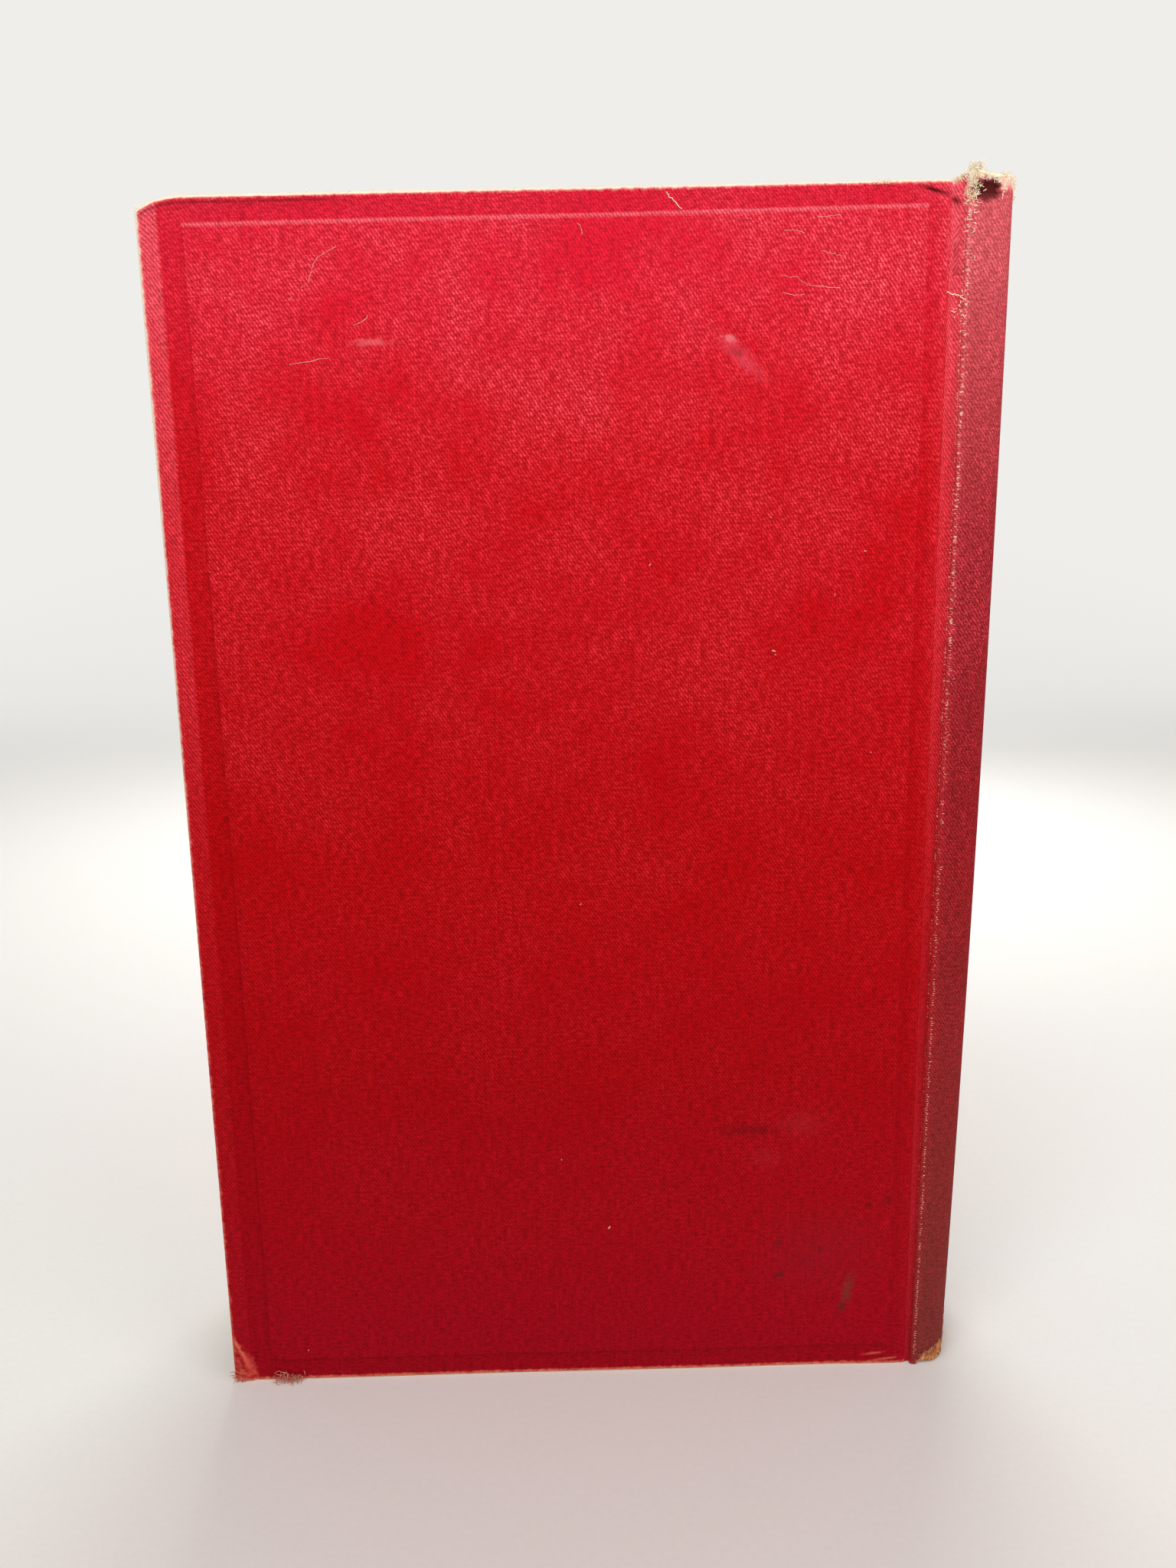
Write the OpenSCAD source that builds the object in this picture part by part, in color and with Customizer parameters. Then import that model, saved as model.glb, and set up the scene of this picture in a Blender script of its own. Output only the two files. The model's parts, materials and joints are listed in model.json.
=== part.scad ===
// A worn cloth-bound octavo book that stands upright on its tail edges.
// The back cover faces -Y, the front cover faces +Y, the rounded spine faces +X.
// Plan sizes are measured from the fore edge of the boards, and outwards from the middle leaf.
// The finished book is then moved so that the origin is under its middle.

/* [Covers] */
// Height of each covered board
cover_h = 222; // [180:1:260]
// Width of each covered board, from its fore edge to the joint
cover_w = 135.5; // [110:0.5:170]
// Thickness of the grey board
board_t = 2.5; // [1.8:0.1:4]
// Thickness of the glued book cloth
cloth_t = 0.35; // [0.25:0.05:0.5]
// Width of the cloth that is turned in over the inside of each board
turn_in = 15; // [10:1:20]
// Width of the open mitre line where two turn-ins meet at a corner
mitre_gap = 0.2; // [0.1:0.05:0.4]

/* [Worn corners] */
// Length of the head edge that the bumped corner takes in
bump_reach = 7.8; // [5:0.1:12]
// Fall of the head edge at the bumped corner
bump_drop = 2.9; // [1:0.1:4]
// Radius of the rubbed corner at the tail
tail_corner_r = 1.6; // [0.8:0.1:4]

/* [Blind stamp] */
// Width of the raised rim that is left along the fore edge
rim_w = 3.8; // [2:0.1:6]
// Width of the sunk band beside the fore edge rim
band_fore_w = 3.8; // [2:0.1:6]
// Width of the sunk band at the head
band_head_w = 4.6; // [2:0.1:8]
// Width of the sunk band at the tail
band_tail_w = 4.7; // [2:0.1:8]
// Width of the sunk band along the joint
band_joint_w = 3.9; // [2:0.1:8]
// Depth of the sunk band
stamp_depth = 0.35; // [0.1:0.05:0.6]

/* [Text block] */
// Thickness of the closed leaves
text_t = 30.8; // [20:0.2:50]
// Overhang of the boards past the leaves at head, tail and fore edge
square = 3; // [2:0.25:5]
// Depth of the hollow in the fore edge
fore_hollow = 6; // [3:0.5:9]
// Thickness of the outer leaves on each side of that hollow
fore_land = 0.5; // [0.3:0.1:2]
// Number of sewn sections, which show as folds along the spine
sections = 20; // [12:1:28]
// Radius of a section's fold, as a share of the distance between folds
fold_share = 0.55; // [0.52:0.01:0.6]

// Film of glue between the folds and the gauze
glue_t = 0.05; // [0.02:0.01:0.1]

/* [Endpapers] */
// Thickness of the endpaper
paper_t = 0.15; // [0.1:0.05:0.3]
// Slack between a closed cover and the leaf under it
leaf_gap = 0.15; // [0.1:0.05:0.4]

/* [Joints] */
// Distance from the board to the hinge line in the groove
axis_reach = 1.15; // [1:0.05:1.6]
// Height of the hinge line above the face of the cover
axis_rise = 0.3; // [0.2:0.05:0.6]
// Radius of the pressed groove about the hinge line
groove_r = 1.5; // [1.3:0.1:2]
// Radius of the worn ridge beside the groove
ridge_r = 0.8; // [0.75:0.05:1.2]
// Depth of the ridge below the face of the cover
ridge_drop = 0.1; // [0:0.05:0.5]
// Clearance between the board's edge and the cloth of the groove
joint_gap = 0.3; // [0.2:0.05:0.5]

/* [Spine] */
// Rise of the rounded spine past the ridge
spine_round = 11.8; // [7:0.1:14]
// Thickness of the card inside the spine cloth
inlay_t = 0.5; // [0.3:0.05:0.8]
// Distance from the card's edge to the ridge
inlay_margin = 1; // [0.5:0.1:2]
// Width of the hollow between the case and the lined leaves
hollow_gap = 0.6; // [0.2:0.05:1]
// Thickness of the open gauze that ties the leaves to the case
mull_t = 0.3; // [0.2:0.05:0.5]
// Width of the gauze that is glued to each board
mull_flange_w = 25; // [15:1:35]
// Thickness of the paper lining over the gauze
lining_t = 0.25; // [0.15:0.05:0.5]
// Radius of the bead on the head and tail bands
bead_r = 1; // [0.6:0.1:1.4]
// Angle that the bands and the lining stop short of the shoulders
band_short_a = 4; // [2:1:10]

/* [Wear on the spine] */
// Height of the torn cloth at the tail, at the middle of the spine
tear_h = 6.2; // [4:0.2:12]
// Height of the card that broke away behind it
card_tear_h = 2.6; // [1:0.2:3.6]
// Height of the hole that the collapsed cloth leaves under the head
hole_h = 3; // [1.5:0.1:4]
// Width of that hole around the spine
hole_w = 6.6; // [4.2:0.1:8]
// Strip of frayed cloth that is left above the hole
hole_edge = 1; // [0.8:0.1:3]
// Distance around the spine from the back ridge to the hole
hole_ridge_gap = 1.7; // [1.3:0.1:6]

/* [Hidden] */
$fn = 64;
red = "#a8101c";
faded_red = "#9a3a38";
grey_board = "#8d8270";
brown_card = "#b0703c";
leaf_cream = "#e3d6b4";
end_white = "#e8dfc6";
gauze = "#d9cfb4";
kraft = "#a98a5e";
band_cotton = "#e2d9c2";
past = 0.5;
far = 60;

// Heights above the middle leaf, from the leaves outwards
text_v = text_t / 2;
leaf_v = text_v + paper_t;
paste_v = leaf_v + leaf_gap;
turn_v = paste_v + paper_t;
board_v = turn_v + cloth_t;
face_v = board_v + board_t;
cover_v = face_v + cloth_t;

// Corner that the bump leaves
bump_r = (bump_reach * bump_reach + bump_drop * bump_drop) / (2 * bump_drop);

// Hinge line, ridge and spine curve
axis_u = cover_w + axis_reach;
axis_v = cover_v + axis_rise;
ridge_v = cover_v - ridge_drop - ridge_r;
ridge_u = axis_u + sqrt(pow(groove_r + ridge_r, 2) - pow(axis_v - ridge_v, 2));
total_w = ridge_u + spine_round;
reach_u = total_w - ridge_r;
spine_u = (reach_u * reach_u - ridge_u * ridge_u - ridge_v * ridge_v) / (2 * (reach_u - ridge_u));
spine_r = total_w - spine_u;
ridge_a = atan2(ridge_v, ridge_u - spine_u);
inlay_a = ridge_a - inlay_margin / spine_r * 180 / PI;
joint_end = cover_w + joint_gap;
groove_start_a = -acos((joint_end - axis_u) / groove_r);
groove_end_a = atan2(ridge_v - axis_v, ridge_u - axis_u);

// Angle of the hole around the spine, from its middle towards the back cover
hole_a = ridge_a - (hole_ridge_gap + hole_w / 2) / spine_r * 180 / PI;

// Spine of the leaves, which lies under the case with the hollow between
text_depth = cloth_t + inlay_t + cloth_t + hollow_gap + lining_t + mull_t;
text_r = spine_r - text_depth;
shoulder_gap = cloth_t + mull_t + hollow_gap / 2;
axis_far = norm([axis_u - spine_u, axis_v]);
shoulder_cos = (axis_far * axis_far + text_r * text_r - pow(groove_r + shoulder_gap, 2))
    / (2 * axis_far * text_r);
shoulder_a = atan2(axis_v, axis_u - spine_u) - acos(shoulder_cos);
fold_step = 2 * shoulder_a / sections;
fold_r = fold_share * fold_step * PI / 180 * text_r;
neck_u = joint_end + joint_gap;
neck_v = axis_v - groove_r - shoulder_gap;
fore_v = text_v - fore_land;
fore_r = (fore_hollow * fore_hollow + fore_v * fore_v) / (2 * fore_hollow);
text_h = cover_h - 2 * square;
mull_h = cover_h - 2 * turn_in;
tape_h = turn_in - square;

// Places its children so that the middle of the book stands over the origin
module placed() {
    translate([-total_w / 2, 0, 0])
        children();
}

// Turns a front piece into its twin on the back
module on_back() {
    mirror([0, 1, 0])
        children();
}

// Repeats its children on both sides of the middle leaf
module on_both_sides() {
    children();
    mirror([0, 1, 0])
        children();
}

// Slab between two heights above the middle leaf, from an outline of widths and heights
module slab(low, high) {
    translate([0, high, 0])
        rotate([90, 0, 0])
            linear_extrude(high - low)
                children();
}

// Upright piece from a plan, between two heights above the table
module upright(low, high) {
    translate([0, 0, low])
        linear_extrude(high - low)
            children();
}

// Sector of a ring about a point
module ring(centre, r_out, r_in, a0, a1) {
    mid = (a0 + a1) / 2;
    translate(centre)
        intersection() {
            difference() {
                circle(r_out);
                circle(r_in);
            }
            polygon([[0, 0], far * [cos(a0), sin(a0)], far * [cos(mid), sin(mid)],
                far * [cos(a1), sin(a1)]]);
        }
}

// Sector of a ring about the centre of the spine curve, the same on both sides
module spine_ring(r_out, r_in, a) {
    ring([spine_u, 0], r_out, r_in, -a, a);
}

// Outline of a covered board, or of the bare board under its cloth
module board_outline(inset) {
    difference() {
        translate([inset, inset])
            square([cover_w - 2 * inset, cover_h - 2 * inset]);
        difference() {
            translate([-past, cover_h - bump_drop])
                square([bump_reach + past, bump_drop + past]);
            translate([bump_reach, cover_h - bump_r])
                circle(bump_r - inset);
        }
        difference() {
            translate([-past, -past])
                square(tail_corner_r + past);
            translate([tail_corner_r, tail_corner_r])
                circle(tail_corner_r - inset);
        }
    }
}

// Sunk band round the raised panel, open at the head, the tail and the joint
module band_outline(grow) {
    panel = [cover_w - rim_w - band_fore_w - band_joint_w, cover_h - band_head_w - band_tail_w];
    difference() {
        translate([rim_w - grow, -past])
            square([cover_w - rim_w + grow + past, cover_h + 2 * past]);
        translate([rim_w + band_fore_w + grow, band_tail_w + grow])
            square(panel - [2 * grow, 2 * grow]);
    }
}

// Part of the board's inside that the turn-ins leave bare
module turn_in_window() {
    translate([turn_in, turn_in])
        square([cover_w - turn_in, mull_h]);
}

// Two open lines where the turn-ins are mitred
module mitres() {
    for (place = [[0, 0, 45], [0, cover_h, -45]])
        translate([place[0], place[1]])
            rotate(place[2])
                translate([0, -mitre_gap / 2])
                    square([2 * turn_in, mitre_gap]);
}

// Bare board, pressed down under the sunk band
module board() {
    difference() {
        slab(board_v, face_v)
            board_outline(cloth_t);
        slab(face_v - stamp_depth, face_v + past)
            band_outline(cloth_t);
    }
}

// Book cloth over the face and edges of one board, turned in on three sides
module board_cloth() {
    difference() {
        slab(turn_v, cover_v)
            board_outline(0);
        board();
        slab(cover_v - stamp_depth, cover_v + past)
            band_outline(0);
        slab(turn_v - past, board_v)
            union() {
                turn_in_window();
                mitres();
            }
        slab(turn_v - past, board_v)
            translate([cover_w - cloth_t, turn_in])
                square([cloth_t + past, mull_h]);
    }
}

// Gauze glued to the board beside the joint, between the turn-ins
module mull_flange() {
    slab(turn_v, board_v)
        translate([cover_w - mull_flange_w, turn_in])
            square([mull_flange_w, mull_h]);
}

// Endpaper pasted to the board, which steps down inside the turn-ins
module pastedown() {
    well = [cover_w - mull_flange_w - turn_in, mull_h];
    difference() {
        union() {
            slab(paste_v, turn_v)
                translate([square, square])
                    square([cover_w - square, text_h]);
            slab(paste_v, board_v)
                translate([turn_in, turn_in])
                    square(well);
        }
        slab(paste_v - past, board_v - paper_t)
            translate([turn_in + paper_t, turn_in + paper_t])
                square(well - [2 * paper_t, 2 * paper_t]);
    }
}

// Free leaf of the endpaper, tipped to the leaves along the joint
module flyleaf() {
    slab(text_v, leaf_v)
        translate([square, square])
            square([joint_end - square, text_h]);
}

// Plan of everything inside a curve under the spine, cut away at both grooves
module backed_plan(spine_depth, groove_depth) {
    difference() {
        intersection() {
            translate([spine_u, 0])
                circle(spine_r - spine_depth);
            translate([joint_end, -axis_v])
                square([far, 2 * axis_v]);
        }
        on_both_sides()
            translate([axis_u, axis_v])
                circle(groove_r + groove_depth);
    }
}

// Plan of the leaves: hollow fore edge, flared shoulders and a rounded, folded spine
module text_plan() {
    difference() {
        translate([square, -text_v])
            square([axis_u - square, text_t]);
        translate([square + fore_hollow - fore_r, 0])
            circle(fore_r);
    }
    difference() {
        backed_plan(text_depth + fold_r, shoulder_gap);
        on_both_sides()
            polygon([[joint_end - past, text_v], [neck_u, text_v], [axis_u, neck_v],
                [axis_u, far], [joint_end - past, far]]);
    }
    for (i = [0 : sections - 1])
        rotate_about_spine(fold_step * (i + 0.5) - shoulder_a)
            translate([text_r - glue_t - fold_r, 0])
                circle(fold_r);
}

// Turns a plan about the centre of the spine curve
module rotate_about_spine(a) {
    translate([spine_u, 0])
        rotate(a)
            children();
}

// Bead and tape of a band, on the end of the leaves that faces up
module band() {
    bead_path_r = text_r + mull_t / 2 - bead_r;
    band_a = shoulder_a - band_short_a;
    tape_a = band_a - 1;
    translate([spine_u, 0, bead_r])
        rotate([0, 0, -band_a])
            rotate_extrude(angle = 2 * band_a)
                translate([bead_path_r, 0])
                    circle(bead_r);
    upright(-tape_h, 0.8 * bead_r)
        spine_ring(text_r + mull_t, text_r, tape_a);
}

// Plan of the cloth over the spine: both grooves, both ridges and the round
module spine_cloth_plan() {
    spine_ring(spine_r, spine_r - cloth_t, ridge_a);
    on_both_sides() {
        ring([ridge_u, ridge_v], ridge_r, ridge_r - cloth_t, ridge_a, 180 + groove_end_a);
        ring([axis_u, axis_v], groove_r + cloth_t, groove_r, groove_start_a, groove_end_a);
    }
}

// Cloth that is turned over the end of the card and up inside it
module spine_turn_in() {
    inner_r = spine_r - cloth_t - inlay_t;
    upright(0, turn_in)
        spine_ring(inner_r, inner_r - cloth_t, inlay_a);
    upright(0, cloth_t)
        spine_ring(spine_r - cloth_t / 2, inner_r - cloth_t / 2, inlay_a);
}

// Area under a ragged line, from shares of the way past the ridge and shares of its height
module torn_area(height, line) {
    run = total_w - ridge_u;
    polygon([[ridge_u + line[0][0] * run, -past], for (p = line) [ridge_u + p[0] * run, p[1] * height],
        [total_w + past, height], [total_w + past, -past]]);
}

// Cuts the torn tail square through the spine, on both sides of the book
module tail_tear(height, line) {
    translate([0, axis_v, 0])
        rotate([90, 0, 0])
            linear_extrude(2 * axis_v)
                torn_area(height, line);
}

// Hole under the frayed head, cut square through the spine
module head_hole() {
    hole_r = hole_h / 2;
    translate([spine_u, 0, cover_h - hole_edge - hole_r])
        rotate([0, 90, -hole_a])
            for (shift = [-1, 1])
                translate([0, shift * (hole_w / 2 - hole_r), spine_r - 2 * cloth_t - inlay_t - past])
                    cylinder(r = hole_r, h = text_depth);
}

module text_block() {
    color(leaf_cream)
        placed()
            upright(square, cover_h - square)
                text_plan();
}

module back_flyleaf() {
    color(end_white)
        placed()
            on_back()
                flyleaf();
}

module front_flyleaf() {
    color(end_white)
        placed()
            flyleaf();
}

module spine_mull() {
    color(gauze)
        placed()
            upright(turn_in, cover_h - turn_in)
                difference() {
                    backed_plan(text_depth - mull_t, cloth_t);
                    backed_plan(text_depth, shoulder_gap);
                }
}

module spine_lining() {
    color(kraft)
        placed()
            upright(square, cover_h - square)
                spine_ring(text_r + mull_t + lining_t, text_r + mull_t, shoulder_a - band_short_a);
}

module head_band() {
    color(band_cotton)
        placed()
            translate([0, 0, cover_h - square])
                band();
}

module tail_band() {
    color(band_cotton)
        placed()
            translate([0, 0, square])
                mirror([0, 0, 1])
                    band();
}

module spine_inlay() {
    color(brown_card)
        placed()
            difference() {
                upright(cloth_t, cover_h - cloth_t)
                    spine_ring(spine_r - cloth_t, spine_r - cloth_t - inlay_t, inlay_a);
                tail_tear(card_tear_h, [[0.44, 0.1], [0.55, 0.36], [0.62, 0.5], [0.7, 0.84], [0.82, 0.92],
                    [0.92, 0.8]]);
                head_hole();
            }
}

module spine_cloth() {
    color(faded_red)
        placed()
            difference() {
                union() {
                    upright(0, cover_h)
                        spine_cloth_plan();
                    spine_turn_in();
                    translate([0, 0, cover_h])
                        mirror([0, 0, 1])
                            spine_turn_in();
                }
                tail_tear(tear_h, [[0.18, 0.02], [0.2, 0.3], [0.28, 0.36], [0.39, 0.45], [0.47, 0.55],
                    [0.56, 0.56], [0.63, 0.71], [0.73, 0.81], [0.79, 0.74], [0.9, 0.81], [0.97, 0.92]]);
                head_hole();
            }
}

module back_board() {
    color(grey_board)
        placed()
            on_back()
                board();
}

module back_cloth() {
    color(red)
        placed()
            on_back()
                board_cloth();
}

module back_mull_flange() {
    color(gauze)
        placed()
            on_back()
                mull_flange();
}

module back_pastedown() {
    color(end_white)
        placed()
            on_back()
                pastedown();
}

module front_board() {
    color(grey_board)
        placed()
            board();
}

module front_cloth() {
    color(red)
        placed()
            board_cloth();
}

module front_mull_flange() {
    color(gauze)
        placed()
            mull_flange();
}

module front_pastedown() {
    color(end_white)
        placed()
            pastedown();
}

text_block();
back_flyleaf();
front_flyleaf();
spine_mull();
spine_lining();
head_band();
tail_band();
spine_inlay();
spine_cloth();
back_board();
back_cloth();
back_mull_flange();
back_pastedown();
front_board();
front_cloth();
front_mull_flange();
front_pastedown();
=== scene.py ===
"""Looks of an old cloth-bound hardback book: its worn red cloth, torn spine, paper and boards."""
import json
import logging
import math
from dataclasses import dataclass, field
from enum import Enum
from functools import cached_property, partial
from typing import Callable

import bmesh
import bpy
import numpy as np
from mathutils import Matrix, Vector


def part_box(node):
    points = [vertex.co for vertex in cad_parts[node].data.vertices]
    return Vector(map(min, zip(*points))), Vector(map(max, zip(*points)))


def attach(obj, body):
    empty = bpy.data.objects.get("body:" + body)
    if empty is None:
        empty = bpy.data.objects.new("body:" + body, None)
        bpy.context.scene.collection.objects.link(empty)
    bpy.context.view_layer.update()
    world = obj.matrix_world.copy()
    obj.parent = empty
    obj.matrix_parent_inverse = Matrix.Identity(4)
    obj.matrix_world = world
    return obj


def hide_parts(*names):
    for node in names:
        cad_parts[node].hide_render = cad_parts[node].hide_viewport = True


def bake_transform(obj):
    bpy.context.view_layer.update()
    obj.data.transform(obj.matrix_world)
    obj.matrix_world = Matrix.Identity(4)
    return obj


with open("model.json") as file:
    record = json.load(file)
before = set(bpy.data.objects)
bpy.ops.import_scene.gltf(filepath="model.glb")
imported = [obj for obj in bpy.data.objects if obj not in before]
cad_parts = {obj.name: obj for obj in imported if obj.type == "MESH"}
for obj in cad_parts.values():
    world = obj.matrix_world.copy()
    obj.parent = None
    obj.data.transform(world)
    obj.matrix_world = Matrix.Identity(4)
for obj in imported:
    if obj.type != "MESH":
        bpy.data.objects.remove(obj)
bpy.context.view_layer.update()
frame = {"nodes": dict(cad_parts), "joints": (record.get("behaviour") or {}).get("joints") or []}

LOG = logging.getLogger("hardback_book")
MM = 0.001
IMAGE_H = 2048  # height of the frame in pixels, which the camera's focal length refers to
RGBA = {"out": 2, "data_type": "RGBA"}  # settings of a node that mixes colours
FLAT = {"noise_dimensions": "2D"}  # settings of a noise that runs over the unrolled cloth

Array = np.ndarray
Material = bpy.types.Material
Piece = bpy.types.Object
Socket = bpy.types.NodeSocket
Tree = bpy.types.NodeTree


class Side(Enum):
    """The two covers, with the sign of their outward direction along Y."""

    BACK = -1
    FRONT = 1

    @property
    def cover(self) -> str:
        """Name of the body that this side's cover is."""
        return f"{self.name.lower()}_cover"

    @property
    def label(self) -> str:
        """Lower-case word that starts the names of this side's pieces."""
        return self.name.lower()


def linear(code: str) -> tuple[float, float, float, float]:
    """Turns an sRGB hex colour into linear light.

    Args:
        code: Colour such as "#c01020".

    Returns:
        Red, green, blue and an alpha of 1.
    """
    parts = [int(code[i:i + 2], 16) / 255 for i in (1, 3, 5)]
    light = [p / 12.92 if p <= 0.04045 else ((p + 0.055) / 1.055) ** 2.4 for p in parts]
    return (light[0], light[1], light[2], 1.0)


def add_node(tree: Tree, kind: str, inputs: dict | None = None, out: int | str = 0, stops: tuple = (),
             **settings) -> Socket:
    """Adds one node with its settings, values and links.

    Args:
        tree: Node tree of the material.
        kind: Node type without its "ShaderNode" prefix.
        inputs: Socket names or numbers, each with a value or a socket to link from.
        out: Name or number of the output to hand back.
        stops: Colour ramp stops, each a place from 0 to 1 and a hex colour.
        **settings: Properties of the node.

    Returns:
        The chosen output socket.
    """
    node = tree.nodes.new("ShaderNode" + kind)
    for name, value in settings.items():
        setattr(node, name, value)
    for number, (place, code) in enumerate(stops):
        element = node.color_ramp.elements[number] if number < 2 else node.color_ramp.elements.new(place)
        element.position, element.color = place, linear(code)
    for socket, value in (inputs or {}).items():
        if isinstance(value, Socket):
            tree.links.new(value, node.inputs[socket])
        else:
            node.inputs[socket].default_value = value
    return node.outputs[out] if len(node.outputs) else None


def new_material(name: str) -> tuple[Material, Callable]:
    """Makes a material with an empty node tree.

    Args:
        name: Name of the material.

    Returns:
        The material, and add_node for its own tree.
    """
    material = bpy.data.materials.new(name)
    material.use_nodes = True
    material.node_tree.nodes.clear()
    return material, partial(add_node, material.node_tree)


def smooth(value: Array, low: float, high: float) -> Array:
    """Rises from 0 at low to 1 at high along a smooth S."""
    share = np.clip((np.asarray(value, float) - low) / (high - low), 0, 1)
    return share * share * (3 - 2 * share)


def grid_lines(start: float, end: float, spacing: float, marks: list[float], reach: float) -> Array:
    """Places the lines of a mesh grid evenly, with a tight cluster at each mark.

    Args:
        start: First line.
        end: Last line.
        spacing: Usual distance between lines.
        marks: Places where the surface steps or bends.
        reach: Half width of the cluster at a mark.

    Returns:
        Rising places of the lines.
    """
    even = np.linspace(start, end, max(2, round((end - start) / spacing) + 1))
    tight = [m + k * reach for m in marks for k in (-1, -0.5, 0, 0.5, 1)]
    tight = [t for t in tight if start < t < end]
    kept = [e for e in even[1:-1] if all(abs(e - t) > reach * 0.6 for t in tight)]
    return np.array(sorted([start, end, *kept, *tight]))


def grid_faces(columns: int, rows: int, flipped: bool = False) -> list:
    """Joins the corners of a grid into four-sided faces.

    Args:
        columns: Number of columns.
        rows: Corners in each column.
        flipped: True to turn the faces over.

    Returns:
        Faces by corner number, which counts up column by column.
    """
    numbers = np.arange(columns * rows).reshape(columns, rows)
    quads = [(numbers[i, j], numbers[i, j + 1], numbers[i + 1, j + 1], numbers[i + 1, j])
             for i in range(columns - 1) for j in range(rows - 1)]
    return [quad[::-1] for quad in quads] if flipped else quads


def add_piece(name: str, mesh: bpy.types.Mesh, material: Material) -> Piece:
    """Puts a mesh into the scene with its material, and reports it.

    Args:
        name: Name of the piece.
        mesh: Its mesh.
        material: Its material.

    Returns:
        The new object.
    """
    mesh.materials.append(material)
    piece = bpy.data.objects.new(name, mesh)
    bpy.context.scene.collection.objects.link(piece)
    LOG.info("%s in %s with %d faces", name, material.name, len(mesh.polygons))
    return piece


@dataclass
class MeshParts:
    """Collects the corners, faces and per-corner numbers of one piece, in millimetres."""

    points: list = field(default_factory=list)
    faces: list = field(default_factory=list)
    marks: dict = field(default_factory=dict)

    def add(self, points: Array, faces: list, **marks: Array) -> int:
        """Adds a patch.

        Args:
            points: Corners, one row each.
            faces: Corner numbers within this patch.
            **marks: Per-corner numbers or vectors by attribute name.

        Returns:
            Number of the patch's first corner.
        """
        first = sum(len(p) for p in self.points)
        self.points.append(np.asarray(points, float).reshape(-1, 3))
        self.faces += [tuple(first + i for i in face) for face in faces]
        for name, values in marks.items():
            self.marks.setdefault(name, []).append(np.asarray(values, float))
        return first

    def build(self, name: str, material: Material) -> Piece:
        """Makes the Blender object, in metres, with smooth faces.

        Args:
            name: Name of the piece.
            material: Its material.

        Returns:
            The new object.
        """
        mesh = bpy.data.meshes.new(name)
        mesh.from_pydata((np.vstack(self.points) * MM).tolist(), [], self.faces)
        for mark, values in self.marks.items():
            joined = np.concatenate(values)
            kind, key = ("FLOAT_VECTOR", "vector") if joined.ndim == 2 else ("FLOAT", "value")
            layer = mesh.attributes.new(mark, kind, "POINT")
            layer.data.foreach_set(key, joined.astype(np.float32).ravel())
        mesh.shade_smooth()
        return add_piece(name, mesh, material)


def thicken(piece: Piece, thickness: float) -> None:
    """Gives an open sheet its thickness, inward, and applies it to the mesh.

    Args:
        piece: Sheet whose faces look outward.
        thickness: In millimetres.
    """
    solidify = piece.modifiers.new("thickness", "SOLIDIFY")
    solidify.thickness, solidify.offset = thickness * MM, -1
    solidify.use_even_offset = False
    whole = bpy.data.meshes.new_from_object(piece.evaluated_get(bpy.context.evaluated_depsgraph_get()))
    piece.modifiers.clear()
    piece.data = whole
    whole.shade_smooth()


@dataclass(frozen=True)
class ClothMark:
    """A broken mark on the cloth: middle and half sizes in cloth millimetres, and its turn in degrees."""

    s: float
    t: float
    reach_s: float
    reach_t: float
    colour: str
    strength: float
    turn: float = 0.0
    ragged: float = 1.0


@dataclass(frozen=True)
class ClothInputs:
    """What the cloth's patterns are drawn from: unrolled millimetres, share of the height, wear marks."""

    add: Callable
    place: Socket
    s: Socket
    t: Socket
    high: Socket
    marks: dict


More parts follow.
